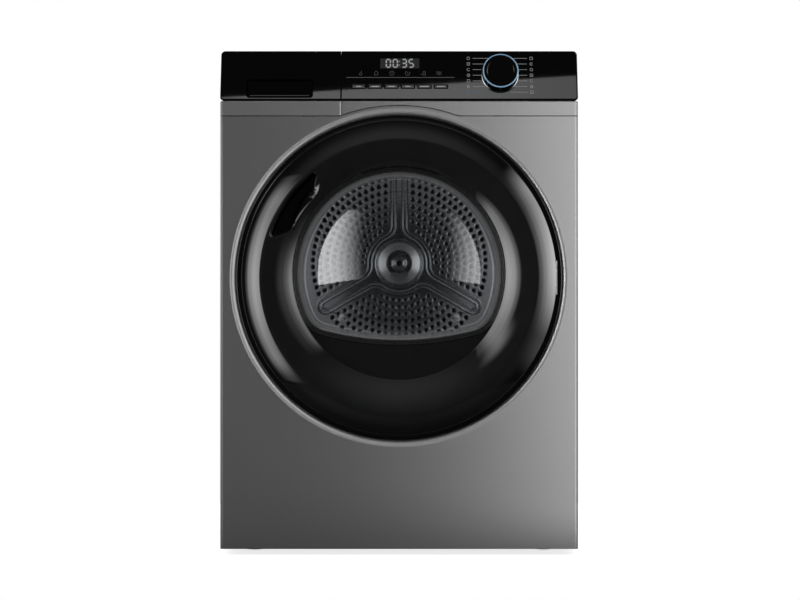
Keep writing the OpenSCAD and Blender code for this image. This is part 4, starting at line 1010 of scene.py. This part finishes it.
def make_grip_cup():
    """Finger cup behind the drawer's opening, with rounded inner corners."""
    x0, x1, z0, z1 = GRIP
    floor_y = hood_y(z0)
    rings = []
    for inset, back in GRIP_CUP:
        inset *= MM
        ring = rounded_box(x0 + inset, x1 - inset, z0 + inset, z1 - inset, [5 * MM] * 4)
        lean = (1 - min(back / GRIP_STRAIGHT, 1)) * (hood_y(ring[:, 1]) - floor_y)
        rings.append(np.stack([ring[:, 0], floor_y + back * MM + lean, ring[:, 1]], 1))
    return piece("drawer_grip_cup", loft(rings, cap_last=True), "tank_drawer", "gloss_black", sharp=50)


def knob_rings(profile):
    """Rings of a turned shape about the knob's middle: (radius, how far out) in millimetres."""
    up = up_hood(KNOB_Z)
    turns = np.linspace(0, 2 * math.pi, 96, endpoint=False)
    return [[on_hood(KNOB.x + r * MM * math.cos(t), up + r * MM * math.sin(t), h * MM) for t in turns]
            for r, h in profile]


def make_knob():
    """Selector knob: a dark chrome skirt, a ring that glows with painted light and a black face with a
    rounded shoulder.
    """
    skirt = [(31.0, 0.6), (31.0, 1.8), (30.6, 2.4), (29.6, 2.8), (28.9, 4.0), (28.7, 8), (28.9, 17),
             (29.2, 21.0), (29.3, 21.8)]
    ring = [(29.3, 21.8), (29.5, 22.6), (29.3, 23.4), (28.8, 23.9), (28.1, 23.9), (27.7, 23.4)]
    face = [(27.7, 23.4), (27.5, 23.0), (27.0, 23.3), (26.0, 23.6), (24.6, 23.7), (23.2, 23.5),
            (22.2, 23.0), (21.6, 22.4), (20.6, 22.1), (12, 21.9), (4, 21.8), (0.6, 21.8)]
    return [piece("knob_skirt", loft(knob_rings(skirt), cap_first=True), "knob", "gloss_black",
                  ["selector_knob"], DARK_CHROME, sharp=50),
            piece("knob_ring", loft(knob_rings(ring)), "knob", "bare_steel", finish=RING_PAINTED_GLOW, sharp=60),
            piece("knob_face", loft(knob_rings(face), cap_last=True), "knob", "gloss_black", sharp=60)]


# ---- print and display, written in millimetres along X and up the hood's face ----

PRINT_T = 0.12
PRINT_LIFT = 0.02
THIN = 0.55
SEGMENTS = {"0": "abcdef", "3": "abgcd", "5": "afgcd"}
DISPLAY_DIGITS = (("0", 0), ("0", 11.6), ("3", 26.6), ("5", 38.2))
DIGIT_W, DIGIT_H, DIGIT_LINE, DIGIT_LIFT = 6.8, 13.8, 2.3, 0.1
KEY_HALF_W, KEY_HALF_H = 11.9, 3.95
KEY_SECTION = ((0, -6), (0, 0.3), (0.2, 0.8), (0.6, 1.0), (1.5, 1.0), (1.8, 0.7), (2.2, 0.6))
KEY_MARKS = (8, 12, 11, 8, 14, 13)
SCALE_TOP = 827.1 * MM
SCALE_STEP = 9.72 * MM
SCALE_ROWS = 7
ICON_Z = 801.6 * MM
ICON_PITCH = 26.1
LINE_Z = 794.1 * MM


def up_mm(z):
    """Distance up the hood's face of a height, in millimetres."""
    return up_hood(z) / MM


def hood_place(out):
    """Puts points of the hood's face a distance outside it."""
    return lambda p: tuple(on_hood(p[0] * MM, p[1] * MM, out * MM))


def ribbon(points, width=THIN, lift=PRINT_LIFT, closed=False):
    """A thin printed line along points."""
    points = [np.array(p, float) for p in points]
    n = len(points)
    outer, inner = hood_place(lift + PRINT_T), hood_place(lift)
    rings = []
    for i, p in enumerate(points):
        ways = []
        if closed or i > 0:
            ways.append(p - points[i - 1])
        if closed or i < n - 1:
            ways.append(points[(i + 1) % n] - p)
        ways = [way / np.hypot(*way) for way in ways]
        way = sum(ways) / np.hypot(*sum(ways))
        half = width / 2 / max(float(np.dot(way, ways[0])), 0.4)
        across = np.array([-way[1], way[0]]) * half
        a, b = p + across, p - across
        rings.append([inner(a), outer(a), outer(b), inner(b)])
    return loft(rings, tube_closed=closed, cap_first=not closed, cap_last=not closed)


def circle_line(x, up, r, start=0, end=360):
    """A thin circle or part of one."""
    whole = end - start == 360
    points = arc((x, up), r, start, end, 20)
    return ribbon(points[:-1] if whole else points, closed=whole)


def box_line(x, up, w, h):
    """A thin rectangle."""
    corners = ((-1, -1), (1, -1), (1, 1), (-1, 1))
    return ribbon([(x + i * w / 2, up + k * h / 2) for i, k in corners], closed=True)


def digit(character, x, up):
    """A seven-segment digit about a centre."""
    left, right, top, low = x - DIGIT_W / 2, x + DIGIT_W / 2, up + DIGIT_H / 2, up - DIGIT_H / 2
    ends = {
        "a": ((left, top), (right, top)), "g": ((left, up), (right, up)), "d": ((left, low), (right, low)),
        "f": ((left, up), (left, top)), "b": ((right, up), (right, top)),
        "e": ((left, low), (left, up)), "c": ((right, low), (right, up))}
    cut = 0.35 * DIGIT_LINE
    parts = []
    for name in SEGMENTS[character]:
        (x0, y0), (x1, y1) = ends[name]
        dx, dy = (cut, 0) if y0 == y1 else (0, cut)
        parts.append(ribbon([(x0 + dx, y0 + dy), (x1 - dx, y1 - dy)], DIGIT_LINE, DIGIT_LIFT))
    return merged(*parts)


def make_display():
    """Display pane with four lit digits and the colon between them."""
    x = middle("display_window").x / MM
    up = up_mm(DISPLAY_Z)
    ring = centred_box(x, up, 32.6, 8.5 / math.cos(HOOD_TILT), 0.6)
    front, back = hood_place(-0.2), hood_place(-1.8)
    side = loft([[place(p) for p in ring] for place in (front, back)])
    piece("display_pane", merged(filled(ring, front), side), "cabinet", "display_glass", ["display_window"])
    left = x - 19
    parts = [digit(character, left + offset, up) for character, offset in DISPLAY_DIGITS]
    for dot in (-3.2, 3.2):
        ends = [(left + 18.1, up + dot + end) for end in (-0.8, 0.8)]
        parts.append(ribbon(ends, 1.6, DIGIT_LIFT))
    piece("display_digits", merged(*parts), "cabinet", "display_glass", finish=DIGITS)


def make_keys():
    """Six low keys, each with a dark rim, a satin face and a plain printed bar."""
    up = up_mm(KEY_Z)
    face_inset, face_out = KEY_SECTION[-1]
    for number, (node, width) in enumerate(zip(KEYS, KEY_MARKS), 1):
        x = middle(node).x / MM
        rings = []
        for inset, out in KEY_SECTION:
            ring = centred_box(x, up, KEY_HALF_W - inset, KEY_HALF_H - inset, max(1.0 - inset * 0.3, 0.3), 4)
            rings.append([hood_place(out)(p) for p in ring])
        piece(f"key_cap_{number}", loft(rings), f"button_{number}", "gloss_black", [node], sharp=40)
        ring = centred_box(x, up, KEY_HALF_W - face_inset, KEY_HALF_H - face_inset, 0.4, 4)
        piece(f"key_face_{number}", filled(ring, hood_place(face_out)), f"button_{number}", "gloss_black",
              finish=KEY_GREY)
        bar = ribbon([(x - width / 2, up), (x + width / 2, up)], 1.7, face_out + PRINT_LIFT)
        piece(f"key_mark_{number}", bar, f"button_{number}", "pale_plastic", finish=INK)


def scale_marks():
    """Lines and plain pictograms on both sides of the knob: the grey ones and the blue ones."""
    grey_parts, blue_parts = [], []
    x0 = KNOB.x / MM
    for row in range(SCALE_ROWS):
        z = SCALE_TOP - row * SCALE_STEP
        up = up_mm(z)
        height = (z - KNOB_Z) / MM - 6
        reach = math.sqrt(max(31 ** 2 - height ** 2, 14 ** 2))
        if row in (0, SCALE_ROWS - 1):
            reach = max(reach, 17)
        for side in (-1, 1):
            x = x0 + side * 52.5
            icon = (circle_line(x, up, 2.4), box_line(x, up, 4.4, 4.4),
                    circle_line(x, up, 2.3, 40, 330))[(row + (side > 0)) % 3]
            if row % 2:
                icon = merged(icon, ribbon([(x - 1.2, up), (x + 1.2, up)]))
            parts = blue_parts if row == SCALE_ROWS - 1 and side < 0 else grey_parts
            parts.extend([ribbon([(x0 + side * reach, up), (x0 + side * 45.3, up)]), icon])
    blue_parts.append(circle_line(x0 + 1, up_mm(SCALE_TOP - 6.6 * SCALE_STEP), 2.3))
    up = up_mm(833 * MM)
    grey_parts.append(ribbon([(x0 - 2.6, up), (x0 + 2.6, up)], 0.9))
    return grey_parts, blue_parts


def pictogram(number, x, up):
    """One of six plain pictograms about a place."""
    def line(*points):
        return ribbon([(x + dx, up + dy) for dx, dy in points])
    hands = line((0, 2.2), (0, 0), (1.6, 0))
    return merged(*(
        (circle_line(x, up - 1.6, 2.1), line((0, 0.4), (1.8, 4.2))),
        (circle_line(x, up, 2.9, -40, 220), line((-3.6, -3), (3.6, -3))),
        (circle_line(x, up, 3.9), hands),
        (circle_line(x, up, 3.9, 110, 400), hands),
        (box_line(x + 1.6, up - 1.6, 4.4, 3.6), circle_line(x + 1.6, up + 1.2, 2.2, 0, 180),
         line((-5, -2), (-2, -2))),
        (line((-3.4, -3), (-3.4, 3)), line((3.4, -3), (3.4, 3)), box_line(x, up, 2.4, 5)))[number])


def make_marks():
    """Printed marks round the knob, and the pictograms and thin lines above the keys."""
    grey_parts, blue_parts = scale_marks()
    first = middle("display_window").x / MM - 2.5 * ICON_PITCH
    faint_parts = [pictogram(i, first + i * ICON_PITCH, up_mm(ICON_Z)) for i in range(6)]
    up = up_mm(LINE_Z)
    faint_parts.append(ribbon([(-88, up), (92.3, up)], 1.0))
    up = up_mm(KEY_Z) - 6.2
    x = middle(KEYS[0]).x / MM + 12.5
    faint_parts.append(ribbon([(x - 10, up), (x - 2, up), (x, up + 1.2), (x + 2, up), (x + 10, up)]))
    for name, parts, ink in (("scale_marks", grey_parts, INK), ("pictograms", faint_parts, FAINT_INK),
                             ("blue_marks", blue_parts, BLUE_INK)):
        piece(name, merged(*parts), "cabinet", "pale_plastic", finish=ink)


# ---- metal strip below the hood ----

TRIM_RISE = 1.7 * MM
TRIM_EDGE_R = 2.2 * MM


def make_trim(name, inner, outer, body, node):
    """Half of the strip: arched lower edge, rounded top edge and a rounded outer end."""
    side = 1 if outer > 0 else -1
    flat = outer - side * PANEL_CORNER
    top = HOOD_Z + TRIM_RISE
    places = [(x, FRONT, 0, -1) for x in np.linspace(inner, flat, 90)]
    for turn in quarter(8)[1:]:
        nx, ny = side * math.sin(turn), -math.cos(turn)
        places.append((flat + PANEL_CORNER * nx, FRONT + PANEL_CORNER * (1 + ny), nx, ny))
    places.append((outer, FRONT + RETURN_D, side, 0))
    crest = math.sqrt(WAVE_R ** 2 - (SEAM_Z - DOOR.z) ** 2)
    columns = []
    for x, y, nx, ny in places:
        lower = SEAM_Z + SEAM_GAP
        if abs(x) < crest + 4 * MM:
            arch = math.sqrt((WAVE_R + SEAM_GAP) ** 2 - min(abs(x), WAVE_R) ** 2)
            lower = max(lower, DOOR.z + arch)
        column = [(x, y, lower), (x, y, lower + 0.3 * MM)]
        section = [(1 - math.cos(turn), 1 - math.sin(turn)) for turn in quarter(6)]
        column += [(x - nx * back * TRIM_EDGE_R, y - ny * back * TRIM_EDGE_R, top - down * TRIM_EDGE_R)
                   for back, down in section]
        column.append((x - nx * 4 * MM, y - ny * 4 * MM, top))
        columns.append(column)
    return piece(name, loft(columns, ring_closed=False), body, "graphite_trim", [node], sharp=40,
                 solidify=0.8 * MM)


# ---- light, floor and camera ----

def level(value):
    """A grey as a ramp's colour."""
    return (value, value, value, 1)


def softbox(name, azimuth, elevation, distance, wide, high, radiance, across=None, upward=None,
            only=None, without=None, aim=(0, FRONT, 0.46), roll=0):
    """Area lamp that faces the machine. Azimuth 0 is in front of it, and 90 on its right.

    across and upward are lists of (place from 0 to 1, level) that fade it towards its edges.
    only and without are the pieces that it lights, or doesn't.
    """
    away = Vector((sind(azimuth) * cosd(elevation), -cosd(azimuth) * cosd(elevation), sind(elevation)))
    data = bpy.data.lights.new(name, "AREA")
    data.shape = "RECTANGLE"
    data.size, data.size_y = wide, high
    data.energy = radiance * wide * high * math.pi
    lamp = bpy.data.objects.new(name, data)
    lamp.location = Vector(aim) + away * distance
    turn = away.to_track_quat("Z", "Y") @ Quaternion((0, 0, 1), math.radians(roll))
    lamp.rotation_euler = turn.to_euler()
    lamp.visible_camera = False
    bpy.context.scene.collection.objects.link(lamp)
    if across or upward:
        data.use_nodes = True
        tree = data.node_tree
        axes = add(tree, "SeparateXYZ", {"Vector": add(tree, "NewGeometry").outputs["Parametric"]})
        for stops, axis, socket in ((across, "X", "Color"), (upward, "Y", "Strength")):
            if not stops:
                continue
            ramp = add(tree, "ValToRGB", {"Fac": axes.outputs[axis]})
            ramp.color_ramp.interpolation = "EASE"
            marks = ramp.color_ramp.elements
            for mark, (position, value) in ((marks[0], stops[0]), (marks[1], stops[-1])):
                mark.position, mark.color = position, level(value)
            for position, value in stops[1:-1]:
                marks.new(position).color = level(value)
            fill(tree, tree.nodes["Emission"], {socket: ramp.outputs["Color"]})
    if only or without:
        group = bpy.data.collections.new(name + "_lit")
        for obj in only or without:
            group.objects.link(obj)
        lamp.light_linking.receiver_collection = group
        if without:
            for entry in group.collection_objects:
                entry.light_linking.link_state = "EXCLUDE"


def make_world():
    """White behind the machine, and a dim studio in front of it."""
    world = bpy.data.worlds.new("studio")
    bpy.context.scene.world = world
    world.use_nodes = True
    tree = world.node_tree
    tree.nodes.clear()
    path = add(tree, "LightPath")
    where = add(tree, "TexCoord").outputs["Generated"]
    rear = add(tree, "SeparateXYZ", {"Vector": where}).outputs["Y"]
    studio = add(tree, "MapRange", {"From Min": 0.2, "From Max": 0.9, "To Min": 0.03, "To Max": 1.0,
                                    "Value": rear})
    seen = add(tree, "Math", {0: path.outputs["Is Glossy Ray"], 1: path.outputs["Is Transmission Ray"]},
               operation="MAXIMUM")
    dim = add(tree, "Mix", {"A": 0.3, "B": studio.outputs["Result"], "Factor": seen.outputs["Value"]})
    shown = add(tree, "Mix", {"A": dim.outputs["Result"], "B": 1.0, "Factor": path.outputs["Is Camera Ray"]})
    background = add(tree, "Background", {"Color": level(1), "Strength": shown.outputs["Result"]})
    add(tree, "OutputWorld", {"Surface": background.outputs["Background"]})


def make_floor():
    """Plain pale floor that keeps the machine's shadow."""
    floor = bpy.data.objects.new("floor", bpy.data.meshes.new("floor"))
    ring = circle(0.6)
    floor.data.from_pydata([(x, y, 0) for x, y in ring], [], [tuple(range(len(ring)))])
    bpy.context.scene.collection.objects.link(floor)
    material = bpy.data.materials.new("floor")
    material.use_nodes = True
    tree = material.node_tree
    tree.nodes.clear()
    pale = add(tree, "BsdfDiffuse", {"Color": level(0.8)})
    lit = add(tree, "Emission", {"Strength": 0.8})
    both = add(tree, "AddShader", {0: pale.outputs["BSDF"], 1: lit.outputs["Emission"]})
    dim = add(tree, "BsdfDiffuse", {"Color": level(0.12)})
    mix = add(tree, "MixShader", {"Fac": add(tree, "LightPath").outputs["Is Camera Ray"],
                                  1: dim.outputs["BSDF"], 2: both.outputs["Shader"]})
    add(tree, "OutputMaterial", {"Surface": mix.outputs["Shader"]})
    floor.data.materials.append(material)


def make_camera():
    """The photo's view: level, in front of the machine's middle."""
    data = bpy.data.cameras.new("camera")
    data.sensor_width = 36
    data.lens = 81.3
    camera = bpy.data.objects.new("camera", data)
    camera.location = (1.5 * MM, FRONT - 3.0, 423.5 * MM)
    camera.rotation_euler = (math.radians(90), 0, 0)
    bpy.context.scene.collection.objects.link(camera)
    bpy.context.scene.camera = camera


make_camera()
make_world()
make_floor()
door_shell, finger_cup = door_cover_and_cup()
gasket = make_gasket()
glass, glass_rim = make_glass()
apron = make_surround()
front_skin, dish = make_front_panel()
hood = make_hood()
grip_cup = make_grip_cup()
knob = make_knob()
for part in knob:
    part.visible_glossy = False
make_display()
make_keys()
make_marks()
strips = [make_trim("right_strip", DRAWER_X + DRAWER_GAP, HALF_W, "cabinet", "control_panel_trim"),
          make_trim("left_strip", DRAWER_X - DRAWER_GAP, -HALF_W, "tank_drawer", "tank_drawer_trim")]
rear_wall = make_rear_wall()
hub = make_hub()

door_gloss = [door_shell, finger_cup, apron, gasket]
drum_parts = [rear_wall, hub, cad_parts["drum_shell"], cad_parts["drum_lifters"]]
metal_front = [front_skin, dish, *strips]
shiny = [*door_gloss, *knob, *hood, glass, grip_cup]
hood_middle = (0, FRONT, 0.78)
window_middle = (0, FRONT, DOOR.z + WINDOW_RISE)
wall_middle = (0, WALL_Y, DRUM.z)

# Long reflections down both sides of the door, and the pale sheet in the hood
BELL = [(0.0, 0.0), (0.5, 1.0), (1.0, 0.0)]
softbox("left_gloss", -70, 0, 2.2, 1.52, 4.1, 7.4,
        [(0.0, 0.0), (0.1, 0.12), (0.25, 0.6), (0.5, 1.0), (0.7, 0.85), (0.88, 0.3), (1.0, 0.0)],
        [(0.0, 0.0), (0.03, 0.1), (0.2, 0.55), (0.5, 1.0), (0.8, 0.55), (0.97, 0.1), (1.0, 0.0)],
        only=door_gloss + knob)
softbox("right_gloss", 90, 4, 2.2, 3.96, 4.1, 8.4,
        [(0.0, 0.0), (0.18, 0.09), (0.24, 0.21), (0.33, 0.52), (0.41, 0.83), (0.5, 1.0), (0.7, 1.0),
         (1.0, 0.0)],
        [(0.0, 0.0), (0.22, 0.1), (0.5, 1.0), (0.8, 0.55), (1.0, 0.0)], only=door_gloss + knob)
softbox("hood_panel", 0, 32, 3.0, 2.0, 0.5, 2.45,
        [(0.0, 0.8), (0.4, 1.0), (0.6, 1.0), (0.8, 0.72), (1.0, 0.6)],
        only=[*hood, grip_cup], aim=hood_middle, roll=3.5)
softbox("trim_light", 0, 76, 1.2, 1.6, 0.4, 5.0, only=strips, aim=(0, FRONT, HOOD_Z))

# General light, which leaves out the shiny black parts
for side, turn, strength in (("left", -1, 3.2), ("right", 1, 1.8)):
    softbox(f"{side}_softbox", turn * 85, 8, 2.4, 2.0, 2.6, strength, BELL, BELL, without=shiny)
    softbox(f"{side}_rear", turn * 140, 20, 2.4, 1.4, 1.6, 2.0, without=shiny)
softbox("top_light", 0, 80, 2.0, 1.6, 1.2, 2.0, without=shiny)

# Lamps for one look each
softbox("right_fill", 38, 6, 1.5, 1.4, 2.2, 3.9, only=metal_front)
softbox("left_fill", -44, 0, 1.8, 0.7, 1.4, 2.0, only=metal_front)
softbox("dish_left", -44, 0, 1.4, 0.8, 1.4, 11.0, only=[dish])
softbox("front_fill", 0, 5, 2.2, 2.4, 2.0, 0.05, only=metal_front)
softbox("door_top_light", 0, 62, 1.8, 3.6, 2.6, 0.3, BELL, BELL, only=door_gloss)
softbox("rim_light", 0, 0, 1.2, 1.0, 1.0, 2.5, only=[glass_rim])
softbox("gasket_light", 0, 6, 1.2, 1.0, 0.6, 1.4, only=[gasket])
softbox("cup_light", -50, 27, 2.2, 1.0, 1.0, 3.0, BELL, BELL, only=[door_shell])
softbox("glass_from_right", 34, -11, 0.65, 0.42, 0.38, 11, [(0.0, 0.0), (0.5, 1.0), (1.0, 1.0)],
        only=[glass], aim=window_middle, roll=8)
softbox("glass_from_left", -37, -11, 0.65, 0.34, 0.38, 7, [(0.0, 1.0), (0.4, 1.0), (1.0, 0.0)],
        only=[glass], aim=window_middle, roll=-8)

# Inside the drum
for side, turn, strength in (("left", -1, 2.2), ("right", 1, 3.2)):
    softbox(f"wall_{side}", turn * 62, 4, 0.29, 0.1, 0.3, strength, only=[rear_wall], aim=wall_middle)
    softbox(f"hub_{side}", turn * 42, 4, 0.25, 0.1, 0.16, strength, only=[hub], aim=wall_middle)
for number in range(8):
    roll = 45 * number
    aim = (0.2 * cosd(90 + roll), WALL_Y, DRUM.z + 0.2 * sind(90 + roll))
    softbox(f"drum_light_{number}", 0, 0, 0.33, 0.18, 0.13, 0.3 + 0.3 * cosd(90 + roll) ** 2,
            only=drum_parts, aim=aim, roll=roll)

bpy.context.scene.view_settings.view_transform = "Standard"
